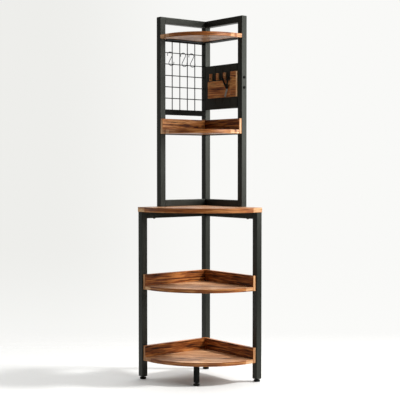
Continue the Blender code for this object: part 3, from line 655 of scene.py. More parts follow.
def eased_box_skin(low, high, ease, axis=2, corner=None):
    """A box with every edge rolled over; the profile runs along the given axis."""
    width, depth, height = on_axis((high - low)[None, :], 1 - axis)[0]
    profile, row_weight = eased_profile(height, ease)
    inset = profile[:, :1]
    radius = np.maximum((corner or CORNER_TO_EASE * ease) - inset, LEAST_RADIUS)
    outline = rounded_rectangle(width - 2 * inset, depth - 2 * inset, radius, EASE_STEPS)
    rings = np.dstack([outline, np.broadcast_to(profile[:, 1:] - height / 2, outline.shape[:2])])
    edge = np.maximum(row_weight, corner_weight(EASE_STEPS)[None, :])
    return ring_skin(on_axis(rings, axis) + (low + high) / 2, edge=edge)


for strip in ("hutch_shelf_left_strip", "hutch_shelf_right_strip", "top_shelf_left_strip",
              "top_shelf_right_strip"):
    low, high = node_box(strip)
    add_piece(strip + "_bar", [eased_box_skin(low, high, STRIP_EASE, corner=STRIP_CORNER)], [strip],
              finish=MATT_AND_PAINTED_SHADE)
    print(strip, "length:", np.round(high - low, 4).max())


# %% [markdown]
# The boards are chipboard with laminate on both faces and an edge band round the rim.  The
# print on the faces and the band run in different directions, so a UV map called grain says,
# for every corner of every face, how far along and how far across the grain it lies.  On a
# face it is the plan; on the rim it is the distance walked round the outline.

# %% Grain direction on wooden pieces
GRAIN_SHIFT = np.array([0.371, 0.113])
BAND_SHIFT = 0.05
BAND_LIMIT = 0.7
END_LIMIT = 0.998
ACROSS_LIMIT = 0.8
TINY = 1e-9
UPWARD = np.array([0.0, 0.0, 1.0])
FRONT_ENDS = ((1.0, 0.0, 0.0), (0.0, -1.0, 0.0))
END_SLOT = 2


def read_rows(items, label, width, kind):
    """One property of all corners, points or faces of a mesh, with width numbers in each row."""
    values = np.empty(len(items) * width, kind)
    items.foreach_get(label, values)
    return values.reshape(-1, width)


def lay_grain(piece, along, thin_axis, number, ends=(), girth=None):
    """Fill the grain map; faces that aren't broad get the edge band, and flat ends the light one.

    U is the place along the grain and V the place across it, and every piece has its own
    shift, so that no two show the same streaks.
    """
    mesh = piece.data
    corner_points = read_rows(mesh.loops, "vertex_index", 1, np.int32)[:, 0]
    place = read_rows(mesh.vertices, "co", 3, float)[corner_points]
    totals = read_rows(mesh.polygons, "loop_total", 1, np.int32)[:, 0]
    normals = read_rows(mesh.polygons, "normal", 3, float)
    band = np.abs(normals[:, thin_axis]) < BAND_LIMIT
    finish = band.astype(np.int32)
    for direction in ends:
        finish[band & (normals @ np.array(direction) > END_LIMIT)] = END_SLOT
    mesh.polygons.foreach_set("material_index", finish)
    face = np.repeat(np.arange(len(totals)), totals)
    normal = normals[face]
    along = unit(np.array(along, float))
    sideways = np.cross(UPWARD, along)
    run = place @ along
    over = np.where(np.abs(normal[:, 2]) > BAND_LIMIT, place @ sideways, place[:, 2])
    across_end = np.abs(normal @ along) > ACROSS_LIMIT
    run = np.where(across_end, place[:, 2], run)
    over = np.where(across_end, place @ unit(sideways + TINY), over)
    if girth is not None:
        run = np.where(band[face], girth(place), run)
        over = np.where(band[face], place[:, 2], over)
    shift = GRAIN_SHIFT * number
    grain = np.stack([run + shift[0], over + shift[1] + BAND_SHIFT * band[face]], 1)
    layer = mesh.uv_layers.new(name="grain")
    layer.data.foreach_set("uv", grain.astype(np.float32).reshape(-1))


# %% [markdown]
# A quarter-round board has two straight back edges against the walls, two short flat ends and
# a bowed front.  The bow is a true arc: its radius follows from the chord and from how far it
# stands out, r = (c^2 + h^2) / 2h.  The corners are softened a little, and the profile rolls
# over the rim's top and bottom edges.

# %% Quarter-round boards
BOW_STEPS = 64
BOARD_EASE = 0.0008
BOARD_CORNER = 0.002
CORNER_STEPS = 4
COUNTER_FLAT_END = 0.032
COUNTER_BOW = 0.1096
LOWER_FLAT_END = 0.062
LOWER_BOW = 0.1011
UPPER_FLAT_END = 0.062
UPPER_BOW = 0.082


def round_corner(start, corner, end):
    """Quadratic curve that leaves start towards the corner and arrives at end."""
    start, corner, end = np.array(start), np.array(corner), np.array(end)
    step = np.linspace(0.0, 1.0, CORNER_STEPS + 1)[:, None]
    return (1 - step) ** 2 * start + 2 * step * (1 - step) * corner + step ** 2 * end


def quarter_round_outline(back, side, flat_end, bow):
    """Outline in the corner's plan, with how much each point is a corner.

    The bow's points are centre + radius * (cos t, sin t), with t from one end to the other.
    """
    half_chord = (side - flat_end) / np.sqrt(2)
    radius = (half_chord ** 2 + bow ** 2) / (2 * bow)
    centre = ((side + flat_end) / np.sqrt(2) + bow - radius) / np.sqrt(2)
    spread = 2 * np.arctan2(bow, half_chord) - BOARD_CORNER / radius
    turn = np.linspace(np.pi / 4 - spread, np.pi / 4 + spread, BOW_STEPS + 1)
    arc = centre + radius * np.stack([np.cos(turn), np.sin(turn)], 1)
    soft = BOARD_CORNER
    corners = [round_corner((back, back + soft), (back, back), (back + soft, back)),
               round_corner((side - soft, back), (side, back), (side, back + soft)),
               round_corner((side, flat_end - soft), (side, flat_end), arc[0]),
               arc[1:-1],
               round_corner(arc[-1], (flat_end, side), (flat_end - soft, side)),
               round_corner((back + soft, side), (back, side), (back, side - soft))]
    bend = np.sin(np.linspace(0.0, np.pi, CORNER_STEPS + 1))
    weight = [bend, bend, bend, np.zeros(BOW_STEPS - 1), bend, bend]
    return np.vstack(corners), np.concatenate(weight)


def inward_normals(outline):
    """Unit normals that point into a closed outline, square to the chord of each point's neighbours."""
    chord = unit(np.roll(outline, -1, 0) - np.roll(outline, 1, 0))
    x, y = outline.T
    area = np.sum(x * np.roll(y, -1) - np.roll(x, -1) * y)
    return np.sign(area) * np.stack([-chord[:, 1], chord[:, 0]], 1)


def board_piece(node_name, flat_end, bow, number):
    """Make one quarter-round board from its solid's box and the two sizes of its front.

    Every point of the outline moves along its inward normal by the profile's inset.
    """
    low, high = node_box(node_name)
    back = low[0] - ROOM_CORNER[0]
    side = high[0] - ROOM_CORNER[0]
    outline, column_weight = quarter_round_outline(back, side, flat_end, bow)
    profile, row_weight = eased_profile(high[2] - low[2], BOARD_EASE)
    plan = outline[None] + profile[:, :1, None] * inward_normals(outline)[None]
    world_x = ROOM_CORNER[0] + plan[..., 0]
    world_y = ROOM_CORNER[1] - plan[..., 1]
    world_z = np.broadcast_to(low[2] + profile[:, 1:], world_x.shape)
    edge = np.maximum(row_weight, column_weight[None, :])
    skin = ring_skin(np.dstack([world_x, world_y, world_z]), edge=edge)
    piece = add_piece(node_name + "_laminate", [skin], [node_name], "rustic_board")
    middle = np.array([ROOM_CORNER[0] + back, ROOM_CORNER[1] - back])

    def girth(place):
        """Distance round the rim: the bearing from the back corner times the board's reach."""
        across = middle[1] - place[:, 1] + BOARD_CORNER
        out = place[:, 0] - middle[0] + BOARD_CORNER
        return np.arctan2(across, out) * side

    lay_grain(piece, (1.0, 1.0, 0.0), 2, number, FRONT_ENDS, girth)


BOARDS = (("bottom_shelf_board", LOWER_FLAT_END, LOWER_BOW), ("mid_shelf_board", LOWER_FLAT_END, LOWER_BOW),
          ("counter_top", COUNTER_FLAT_END, COUNTER_BOW), ("hutch_shelf_board", UPPER_FLAT_END, UPPER_BOW),
          ("top_shelf_board", UPPER_FLAT_END, UPPER_BOW))
for number, (board, flat_end, bow) in enumerate(BOARDS, start=1):
    board_piece(board, flat_end, bow, number)
print("quarter-round boards:", len(BOARDS))

# %% [markdown]
# The lips are narrow boards on edge.  Their print runs along them, and their ends and top carry
# the lighter edge band.  The hutch's left lip has a lighter copy of the print, which is painted
# light over the tool panel's shadow.  The tool holder's board and blocks are made the same way,
# from more figured wood.

# %% Lips, holder board and blocks
LIP_EASE = 0.0008
LIPS = ("bottom_shelf_left_lip", "bottom_shelf_right_lip", "mid_shelf_left_lip", "mid_shelf_right_lip",
        "hutch_shelf_left_lip", "hutch_shelf_right_lip")
HOLDER = ("holder_board", "holder_end_block", "holder_block_1", "holder_block_2", "holder_block_3")
FINISH_OF = dict.fromkeys(LIPS, (LIP_FACE, BOARD_EDGE, BOARD_END))
# The hutch's left lip takes the lighter copy: painted light over the tool panel's shadow.
FINISH_OF["hutch_shelf_left_lip"] = (LIP_FACE_WITH_PAINTED_LIGHT, BOARD_EDGE, BOARD_END)
FINISH_OF.update(dict.fromkeys(HOLDER, (HOLDER_FACE, BOARD_END)))
for number, lip in enumerate(LIPS + HOLDER, start=len(BOARDS) + 1):
    low, high = node_box(lip)
    thin = int(np.argmin(high - low))
    skin = eased_box_skin(low, high, LIP_EASE)
    piece = add_piece(lip + "_laminate", [skin], [lip], "rustic_board", finish=FINISH_OF[lip])
    along = (1.0, 0.0, 0.0) if thin == 1 else (0.0, 1.0, 0.0)
    lay_grain(piece, along, thin, number, FRONT_ENDS if lip in LIPS else ())
print("lips:", len(LIPS), "holder pieces:", len(HOLDER))

# %% [markdown]
# Turned parts are profiles of radius and height carried round an axis.  The radius may also
# change with the angle: that gives a hexagon socket, a fluted rim, and a screw thread, whose
# ridge climbs one pitch in each turn: r = root + depth * ridge(height / pitch - angle / 2 pi).

# %% Turned parts, sockets and threads
TURN_STEPS = 48
TURN = np.arange(TURN_STEPS) / TURN_STEPS * 2 * np.pi
HEX_SIDES = 6
THREAD_STEPS = 8
RIDGE_SLOPE = 1.5
RIDGE_CUT = 0.25


def lathe(radius, height):
    """Points round the Z axis: (r cos t, r sin t, height), with a radius for each row and angle."""
    return np.dstack([radius * np.cos(TURN), radius * np.sin(TURN), np.broadcast_to(height, radius.shape)])


def turned_rings(rows):
    """Rings from rows of (radius, height, shape); shape 0 is round and 1 is a hexagon."""
    rows = np.array(rows, float)
    wedge = np.mod(TURN, 2 * np.pi / HEX_SIDES) - np.pi / HEX_SIDES
    hexagon = np.cos(np.pi / HEX_SIDES) / np.cos(wedge)
    return lathe(rows[:, :1] * (1 + rows[:, 2:] * (hexagon[None, :] - 1)), rows[:, 1:2])


def stepped(radius, height, steps):
    """Round rows at small steps of (radius, height) from one point of a profile."""
    return [(radius + outward, height + upward, 0.0) for outward, upward in steps]


def arc_rows(radius_from, radius_to, height_from, height_to, steps):
    """Rows of a quarter ellipse between two (radius, height) points: r by sin t, h by 1 - cos t."""
    turn = np.linspace(0.0, np.pi / 2, steps + 1)
    radius = radius_from + (radius_to - radius_from) * np.sin(turn)
    height = height_from + (height_to - height_from) * (1 - np.cos(turn))
    return [(r, h, 0.0) for r, h in zip(radius, height)]


def thread_rings(root, depth, pitch, low, high, fade_length):
    """Rings of a screw thread: r = root + depth * ridge(height / pitch - angle / 2 pi) * fade."""
    height = np.linspace(high, low, int((high - low) / pitch * THREAD_STEPS))[:, None]
    phase = np.mod(height / pitch - TURN / (2 * np.pi), 1.0)
    ridge = 1 - np.abs(2 * phase - 1)
    fade = np.clip(np.minimum(height - low, high - height) / fade_length, 0.0, 1.0)
    return lathe(root + depth * np.clip(RIDGE_SLOPE * ridge - RIDGE_CUT, 0.0, 1.0) * fade, height)


def placed(rings, origin, direction):
    """Move rings made round +Z so that their axis runs along a direction from an origin."""
    turn = np.array(Vector(direction).to_track_quat("Z", "Y").to_matrix())
    return rings @ turn.T + np.array(origin)


# %% [markdown]
# Each levelling foot is a moulded pad on a threaded stem that goes in and out of a plug in the
# leg.  The pad has a rounded base, a fluted rim to turn it by, and a short neck.  Small steps
# of the profile are given as (radius, height) from the place that their name says.

# %% Levelling feet
STEM_RADIUS = {"left": 0.005, "right": 0.005, "back": 0.005, "front": 0.004}
FOOT_RADIUS = 0.015
FOOT_BASE = 0.0138
FOOT_SOLE_SHARE = 0.6
FOOT_RIM_LOW = 0.0030
FOOT_RIM_HIGH = 0.0072
RIM_ROUND = 0.0010
RIM_ROUND_STEPS = 4
FOOT_NECK_RADIUS = 0.0105
FOOT_NECK_HEIGHT = 0.0100
FOOT_FLUTES = 16
FLUTE_DEPTH = 0.0005
FLUTE_REACH = 0.0012
FLUTE_MARGINS = (0.0001, 0.0003)
THREAD_PITCH = 0.00125
THREAD_DEPTH = 0.0007
THREAD_MARGINS = (0.0010, 0.0012)
THREAD_FADE = 0.0015
TIP_CHAMFER = (0.0018, 0.0011)
STEM_STEPS = ((-THREAD_DEPTH, 0.0006), (0.0003, 0.0))
NECK_STEPS = ((-0.0006, 0.0), (-0.0002, -0.0002), (0.0001, -0.0007))
CONE_STEPS = 6
CONE_START = (0.0006, -0.0010)
CONE_INSET = 0.0019
CONE_DROP = 0.0009
RIM_STEPS = ((0.0, 0.0003), (-0.0002, 0.0))
BASE_STEPS = ((0.0004, 0.0007), (0.0, 0.0002), (-0.0006, 0.0))


def foot_skin(centre, low, high, stem_radius):
    """Pad and stem as one skin, from the stem's tip down to the middle of the base.

    On the rim the radius dips by depth * (1 + cos(flutes * t)) / 2.
    """
    length = high - low
    tip = [(0.0, length, 0.0), (stem_radius - TIP_CHAMFER[0], length, 0.0),
           (stem_radius - THREAD_DEPTH, length - TIP_CHAMFER[1], 0.0)]
    thread = thread_rings(stem_radius - THREAD_DEPTH, THREAD_DEPTH, THREAD_PITCH,
                          FOOT_NECK_HEIGHT + THREAD_MARGINS[0], length - THREAD_MARGINS[1], THREAD_FADE)
    slope = np.linspace(0.0, 1.0, CONE_STEPS)
    cone = zip(CONE_START[0] + (FOOT_RADIUS - CONE_INSET - FOOT_NECK_RADIUS) * slope,
               CONE_START[1] - CONE_DROP * slope)
    rows = stepped(stem_radius, FOOT_NECK_HEIGHT, STEM_STEPS)
    rows += stepped(FOOT_NECK_RADIUS, FOOT_NECK_HEIGHT, NECK_STEPS)
    rows += stepped(FOOT_NECK_RADIUS, FOOT_NECK_HEIGHT, cone)
    rows += arc_rows(FOOT_RADIUS - RIM_ROUND, FOOT_RADIUS, FOOT_RIM_HIGH, FOOT_RIM_HIGH - RIM_ROUND,
                     RIM_ROUND_STEPS)
    rows += stepped(FOOT_RADIUS, FOOT_RIM_LOW, RIM_STEPS)
    rows += stepped(FOOT_BASE, 0.0, BASE_STEPS)
    rows += [(FOOT_BASE * FOOT_SOLE_SHARE, 0.0, 0.0), (0.0, 0.0, 0.0)]
    pad = turned_rings(rows)
    level = pad[..., 2]
    on_rim = ((np.hypot(pad[..., 0], pad[..., 1]) > FOOT_RADIUS - FLUTE_REACH)
              & (level > FOOT_RIM_LOW - FLUTE_MARGINS[0]) & (level < FOOT_RIM_HIGH - FLUTE_MARGINS[1]))
    wave = (1 + np.cos(FOOT_FLUTES * TURN)) / 2
    pad[..., :2] *= (1 - on_rim * FLUTE_DEPTH / FOOT_RADIUS * wave)[..., None]
    rings = np.concatenate([turned_rings(tip), thread, pad])
    return ring_skin(rings + np.array([centre[0], centre[1], low]), caps=False)


for place, stem_radius in STEM_RADIUS.items():
    low, high = node_box(place + "_foot")
    skin = foot_skin((low + high) / 2, low[2], high[2], stem_radius)
    add_piece(place + "_levelling_foot", [skin], [place + "_foot"], "black_plastic")
print("levelling feet:", len(STEM_RADIUS))

# %% [markdown]
# A plug closes each lower tube end.  Its flange covers the cut edge, ribs on its body grip the
# bore, and the foot's stem runs through it.  The caps on the hutch's posts are the same plugs
# without the hole, with a slightly domed top.

# %% Plugs and caps
FLANGE = 0.0015
FLANGE_STEPS = ((0.0035, 0.0), (0.0016, -0.00010), (0.0008, -0.00028), (0.0003, -0.00055), (0.0, -0.0010))
FLANGE_EASE = 0.00015
RIB_PITCH = 0.0035
RIB_RISE = 0.00025
RIB_STEPS = 6
RIB_VALLEY = -0.4
BODY_PLAY = 0.0003
BODY_TAPER = 0.0012
BORE_PLAY = 0.0003


def body_rows(depth, inset):
    """Rows of (inset, level) down a ribbed plug body: inset = least + rise * (1 - cut cosine)."""
    level = np.linspace(0.0, depth, int(depth / RIB_PITCH * RIB_STEPS) + 1)
    wave = np.clip(np.cos(level / RIB_PITCH * 2 * np.pi), RIB_VALLEY, 1.0)
    return list(zip(inset + RIB_RISE * (1 - wave), -level))


def plug_skin(low, high, points_up, bore):
    """Flange, ribbed body and, where a stem runs through, a round hole."""
    side = high[0] - low[0]
    inset = TUBE_WALL + BODY_PLAY
    depth = high[2] - low[2] - FLANGE
    rows = [(across, FLANGE + upward) for across, upward in FLANGE_STEPS]
    rows += [(0.0, FLANGE_EASE), (FLANGE_EASE, 0.0), (inset, 0.0)]
    rows = np.array(rows + body_rows(depth, inset) + [(inset + BODY_TAPER, -depth)])
    across = rows[:, :1]
    outline = rounded_rectangle(side - 2 * across, side - 2 * across,
                                np.maximum(TUBE_CORNER - across, LEAST_RADIUS))
    rings = np.dstack([outline, np.broadcast_to(rows[:, 1:], outline.shape[:2])])
    if bore:
        bearing = np.arctan2(outline[0, :, 1], outline[0, :, 0])
        circle = bore * np.stack([np.cos(bearing), np.sin(bearing)], 1)
        holes = [np.column_stack([circle, np.full(len(circle), z)]) for z in (-depth, FLANGE)]
        rings = np.concatenate([rings, np.array(holes)])
    if not points_up:
        rings = rings * np.array([1.0, 1.0, -1.0])
    face = high[2] - FLANGE if points_up else low[2] + FLANGE
    origin = np.array([(low[0] + high[0]) / 2, (low[1] + high[1]) / 2, face])
    return ring_skin(rings + origin, rows_close=bool(bore))


CAPPED = ("left", "right", "back")
for place, stem_radius in STEM_RADIUS.items():
    skin = plug_skin(*node_box(place + "_leg_plug"), False, stem_radius + BORE_PLAY)
    add_piece(place + "_leg_end_plug", [skin], [place + "_leg_plug"], "black_plastic")
for place in CAPPED:
    skin = plug_skin(*node_box(f"hutch_{place}_cap"), True, 0.0)
    add_piece(f"hutch_{place}_post_cap", [skin], [f"hutch_{place}_cap"], "black_plastic")
print("plugs:", len(STEM_RADIUS), "caps:", len(CAPPED))

# %% [markdown]
# The short front leg is a smaller tube welded under a square plate.  A weld bead is a row of
# overlapping ripples, so its radius swings a little along its length.

# %% Sweeps along a path, and weld beads
RIPPLE_PITCH = 0.0011
RIPPLE_SHARE = 0.14
RIPPLE_STEPS = 5
BEAD_SIDES = 10
BEAD_LEAST = 6
TIP_STEPS = 3


def swept_rings(path, radius, upward, sides):
    """Rings round a path: centre + radius * (cos t * side + sin t * lift).  Zero radii make poles."""
    tangent = unit(np.gradient(path, axis=0))
    side = unit(np.cross(tangent, np.array(upward, float)))
    lift = np.cross(side, tangent)
    angle = np.arange(sides) / sides * 2 * np.pi
    ring = np.cos(angle)[None, :, None] * side[:, None] + np.sin(angle)[None, :, None] * lift[:, None]
    return path[:, None] + np.broadcast_to(radius, len(path))[:, None, None] * ring


def round_tips(path, radius, steps=ROUND_STEPS, reach=1.0):
    """Add round ends: points past each end, as far as reach radii, whose radii shrink to nothing."""
    turn = np.linspace(0.0, np.pi / 2, steps + 1)[1:]
    start_way = unit(path[0] - path[1])
    end_way = unit(path[-1] - path[-2])
    radius = np.broadcast_to(radius, len(path)).astype(float)
    head = path[0] + radius[0] * reach * np.sin(turn)[::-1, None] * start_way
    tail = path[-1] + radius[-1] * reach * np.sin(turn)[:, None] * end_way
    radii = np.concatenate([radius[0] * np.cos(turn)[::-1], radius, radius[-1] * np.cos(turn)])
    return np.vstack([head, path, tail]), np.where(radii < TINY, 0.0, radii)


def line(start, end, count):
    """Evenly spaced points from start to end."""
    return np.linspace(np.array(start, float), np.array(end, float), count)


def bead_skin(start, end, radius):
    """A weld bead: a rod whose radius ripples, r * (1 - share + share * |cos(run / pitch * pi)|)."""
    length = np.linalg.norm(np.array(end) - np.array(start))
    count = max(int(length / RIPPLE_PITCH * RIPPLE_STEPS), BEAD_LEAST)
    run = np.linspace(0.0, length, count)
    ripple = np.abs(np.cos(run / RIPPLE_PITCH * np.pi))
    radii = radius * (1 - RIPPLE_SHARE + RIPPLE_SHARE * ripple)
    path, radii = round_tips(line(start, end, count), radii, TIP_STEPS)
    return ring_skin(swept_rings(path, radii, UPWARD, BEAD_SIDES), caps=False)


# %% Front leg with its plate
FRONT_TUBE = 0.020
PLATE_THICKNESS = 0.003
PLATE_MARGIN = 0.002
PLATE_EASE = 0.0005
PLATE_CORNER = 0.004
FRONT_BEAD_RADIUS = 0.0013
FRONT_BEAD_DROP = 0.0004
BEAD_RUN = (0.1, 0.9)
NEAR_SIDE = (0.0, 0.0)
FAR_SIDE = (1.0, 1.0)

low, high = node_box("front_leg")
plate_low = np.array([low[0], low[1], high[2] - PLATE_THICKNESS])
tube_high = np.array([high[0] - PLATE_MARGIN, low[1] + PLATE_MARGIN + FRONT_TUBE, plate_low[2]])
tube_low = np.array([tube_high[0] - FRONT_TUBE, low[1] + PLATE_MARGIN, low[2]])
skins = [tube_skin(tube_low, tube_high, 2)]
for x_shares, y_shares in ((NEAR_SIDE, BEAD_RUN), (FAR_SIDE, BEAD_RUN), (BEAD_RUN, NEAR_SIDE),
                           (BEAD_RUN, FAR_SIDE)):
    ends = [(tube_low[0] + FRONT_TUBE * x, tube_low[1] + FRONT_TUBE * y, plate_low[2] - FRONT_BEAD_DROP)
            for x, y in zip(x_shares, y_shares)]
    skins.append(bead_skin(*ends, FRONT_BEAD_RADIUS))
skins.append(eased_box_skin(plate_low, high, PLATE_EASE, corner=PLATE_CORNER))
# The darker matt coat here is painted shade for the shelf's shadow over the front leg.
add_piece("front_leg_weldment", skins, ["front_leg"], finish=MATT_AND_PAINTED_SHADE)
print("front leg, skins:", len(skins))

# %% [markdown]
# The frame's rails are welded between its posts.  On the outside the joints are ground flush,
# so a bead shows only in the inner corners, under the top rails and aprons and over the base
# rails.

# %% Welds in the frame's corners
BEAD_RADIUS = 0.0016
BEAD_MARGIN = 0.004
UNDER = (0,)
OVER = (1,)
WELDED_RAILS = {"left_apron": UNDER, "right_apron": UNDER, "hutch_left_top_rail": UNDER,
                "hutch_right_top_rail": UNDER, "hutch_left_base_rail": OVER,
                "hutch_right_base_rail": OVER, "grid_rail": UNDER + OVER}
weld_skins = {"lower": [], "hutch": []}
for rail, sides in WELDED_RAILS.items():
    box = node_box(rail)
    across = 1 - long_axis(*box)
    for side in sides:
        for end in box:
            start = end.copy()
            start[2] = box[side][2]
            stop = start.copy()
            start[across] = box[0][across] + BEAD_MARGIN
            stop[across] = box[1][across] - BEAD_MARGIN
            group = "lower" if "apron" in rail else "hutch"
            weld_skins[group].append(bead_skin(start, stop, BEAD_RADIUS))
for group, skins in weld_skins.items():
    add_piece(group + "_frame_welds", skins, [], body="rack_frame")
    print(group, "welds:", len(skins))


# %% [markdown]
# The grid is round wire: one thick bar, five level wires and four uprights behind them, each
# crossing held by a small spot weld.  A spot weld is a flattened bead of metal, so an ellipsoid
# stands for it.  The rows that the hooks hang on and pass keep the solid's own wire; the others
# are a little thicker.

# %% Wire grid
WIRE_RADIUS = 0.002
PLAIN_WIRE_RADIUS = 0.0022
HOOK_ROWS = 2
BAR_RADIUS = 0.003
WIRE_SIDES = 16
WIRE_TIP_REACH = 0.5
WIRE_POINTS = 3
LEVEL_LIMIT = 0.5
GRID_ROWS = 5
GRID_ROW_PITCH = 0.0532
GRID_COLUMNS = 4
GRID_COLUMN_PITCH = 0.045
UPRIGHT_SETBACK = 0.0034
SPOT_SETBACK = 0.0018
SPOT_RADII = (0.0013, 0.0019, 0.0019)
SPOT_ROWS = 8
SPOT_COLUMNS = 12


def ball_skin(centre, radii):
    """An ellipsoid: (cos a cos b, cos a sin b, sin a) scaled to three radii."""
    latitude = np.linspace(-np.pi / 2, np.pi / 2, SPOT_ROWS + 1)[:, None]
    longitude = np.arange(SPOT_COLUMNS)[None, :] / SPOT_COLUMNS * 2 * np.pi
    ring = np.cos(latitude)
    level = np.broadcast_to(np.sin(latitude), (SPOT_ROWS + 1, SPOT_COLUMNS))
    points = np.dstack([ring * np.cos(longitude), ring * np.sin(longitude), level])
    return ring_skin(points * np.array(radii) + np.array(centre), caps=False)


def wire_skin(start, end, radius):
    """A straight round wire with softly rounded ends."""
    tip = unit(np.array(end) - np.array(start)) * radius * WIRE_TIP_REACH
    path, radii = round_tips(line(start + tip, end - tip, WIRE_POINTS), radius, TIP_STEPS, WIRE_TIP_REACH)
    upward = UPWARD if abs(tip[2]) < LEVEL_LIMIT * np.linalg.norm(tip) else (1.0, 0.0, 0.0)
    return ring_skin(swept_rings(path, radii, upward, WIRE_SIDES), caps=False)


low, high = node_box("wire_grid")
bar_height = high[2] - BAR_RADIUS
wire_x = high[0] - BAR_RADIUS
upright_x = wire_x - UPRIGHT_SETBACK
columns_y = (low[1] + high[1]) / 2 + (np.arange(GRID_COLUMNS) - (GRID_COLUMNS - 1) / 2) * GRID_COLUMN_PITCH
rows_z = bar_height - np.arange(GRID_ROWS + 1) * GRID_ROW_PITCH
radii = [BAR_RADIUS] + [WIRE_RADIUS] * HOOK_ROWS + [PLAIN_WIRE_RADIUS] * (GRID_ROWS - HOOK_ROWS)
skins = [wire_skin((wire_x, low[1], z), (wire_x, high[1], z), radius) for z, radius in zip(rows_z, radii)]
for y in columns_y:
    skins.append(wire_skin((upright_x, y, low[2]), (upright_x, y, bar_height), PLAIN_WIRE_RADIUS))
    skins += [ball_skin((wire_x - SPOT_SETBACK, y, z), SPOT_RADII) for z in rows_z]
add_piece("grid_of_wires", skins, ["wire_grid"], finish=MATT_AND_PAINTED_SHADE)
print("grid, wires and welds:", len(skins))

# %% [markdown]
# The hooks are bent from thinner wire into an S: two arcs and the straight line that touches
# both.  The line leaves the upper arc where the two tangents agree, sin(a) = 2r / distance.

# %% S-hooks
HOOK_WIRE_RADIUS = 0.0015
HOOK_LOOP_RADIUS = 0.012
HOOK_LOOP_OFFSET = 0.0035
HOOK_LOOP_RISE = 0.0058
HOOK_YAW = np.radians(40.0)
HOOK_TIP_TURN = np.radians(20.0)
HOOK_PLAY = 0.0003
HOOK_STEPS = 40
HOOK_STRAIGHT_STEPS = 12


def hook_path():
    """The S in its own plane, x and z, with the grid wire's axis as the origin."""
    play = HOOK_LOOP_RADIUS - HOOK_WIRE_RADIUS - WIRE_RADIUS - HOOK_PLAY
    upper = np.array([-HOOK_LOOP_OFFSET, -np.sqrt(play ** 2 - HOOK_LOOP_OFFSET ** 2)])
    lower = np.array([HOOK_LOOP_OFFSET, HOOK_LOOP_RISE - GRID_ROW_PITCH])
    apart = lower - upper
    lean = np.arctan2(apart[0], -apart[1])
    leave = np.arcsin(2 * HOOK_LOOP_RADIUS / np.linalg.norm(apart)) - lean
    step = np.linspace(0.0, 1.0, HOOK_STEPS + 1)
    first = np.pi + HOOK_TIP_TURN + (-leave - np.pi - HOOK_TIP_TURN) * step
    second = np.pi - leave + (np.pi + HOOK_TIP_TURN + leave) * step
    top = upper + HOOK_LOOP_RADIUS * np.stack([np.cos(first), np.sin(first)], 1)
    bottom = lower + HOOK_LOOP_RADIUS * np.stack([np.cos(second), np.sin(second)], 1)
    flat = np.vstack([top, line(top[-1], bottom[0], HOOK_STRAIGHT_STEPS)[1:-1], bottom])
    return np.column_stack([flat[:, 0] * np.cos(HOOK_YAW), flat[:, 0] * np.sin(HOOK_YAW), flat[:, 1]])


PIVOTS = {joint["child"]: np.array(joint["pos_m"]) for joint in frame["joints"] if "pos_m" in joint}
path, radii = round_tips(hook_path(), HOOK_WIRE_RADIUS)
rings = swept_rings(path, radii, (-np.sin(HOOK_YAW), np.cos(HOOK_YAW), 0.0), WIRE_SIDES)
for hook in ("s_hook_1", "s_hook_2", "s_hook_3"):
    add_piece(hook + "_wire", [ring_skin(rings + PIVOTS[hook], caps=False)], [hook], finish=MATT_AND_PAINTED_SHADE)
    print(hook, "hangs at height:", round(PIVOTS[hook][2], 4))


# %% [markdown]
# The tool panel is thin sheet.  Its face has three upright grooves and a shallow pressed band,
# and its rim is folded back towards the wall.  The face is a height field on a grid whose lines
# gather at the grooves.  The fold is a quarter circle carried round the face's rim, and the
# back of the sheet repeats the front one thickness behind it.

# %% Tool panel
SHEET = 0.0012
FOLD_RADIUS = 0.0022
FOLD_STEPS = 5
HEM_EASE = 0.0003
GROOVE_WIDTH = 0.0046
GROOVE_DEPTH = 0.0034
GROOVE_SHARES = (0.32, 0.5475, 0.775)
GROOVE_FLAT_SHARE = 0.15
GROOVE_SLOPE_SHARE = 0.55
BAND_SHARES = (0.33, 0.83)
BAND_LOW = 0.008
BAND_HEIGHT = 0.012
BAND_RELIEF = 0.0012
BAND_SOFT = 0.0012
LINES_ACROSS = 40
LINES_UP = 36
LINES_GATHERED = 9
LINE_DIGITS = 6


def soft_step(value, start, end):
    """Smooth rise from 0 to 1 between start and end."""
    share = np.clip((value - start) / (end - start), 0.0, 1.0)
    return share * share * (3 - 2 * share)


def soft_band(value, start, end):
    """One between start and end, with a soft rise and a soft fall inside them."""
    return soft_step(value, start, start + BAND_SOFT) * (1 - soft_step(value, end - BAND_SOFT, end))


def gathered(total, count, centres, reach):
    """Grid lines over a face inside its folds, with extra lines round each centre."""
    margin = FOLD_RADIUS
    local = [centre + reach * np.linspace(-1.0, 1.0, LINES_GATHERED) for centre in centres]
    lines = np.concatenate([np.linspace(margin, total - margin, count), *local])
    lines = np.unique(np.round(lines, LINE_DIGITS))
    return lines[(lines >= margin) & (lines <= total - margin)]


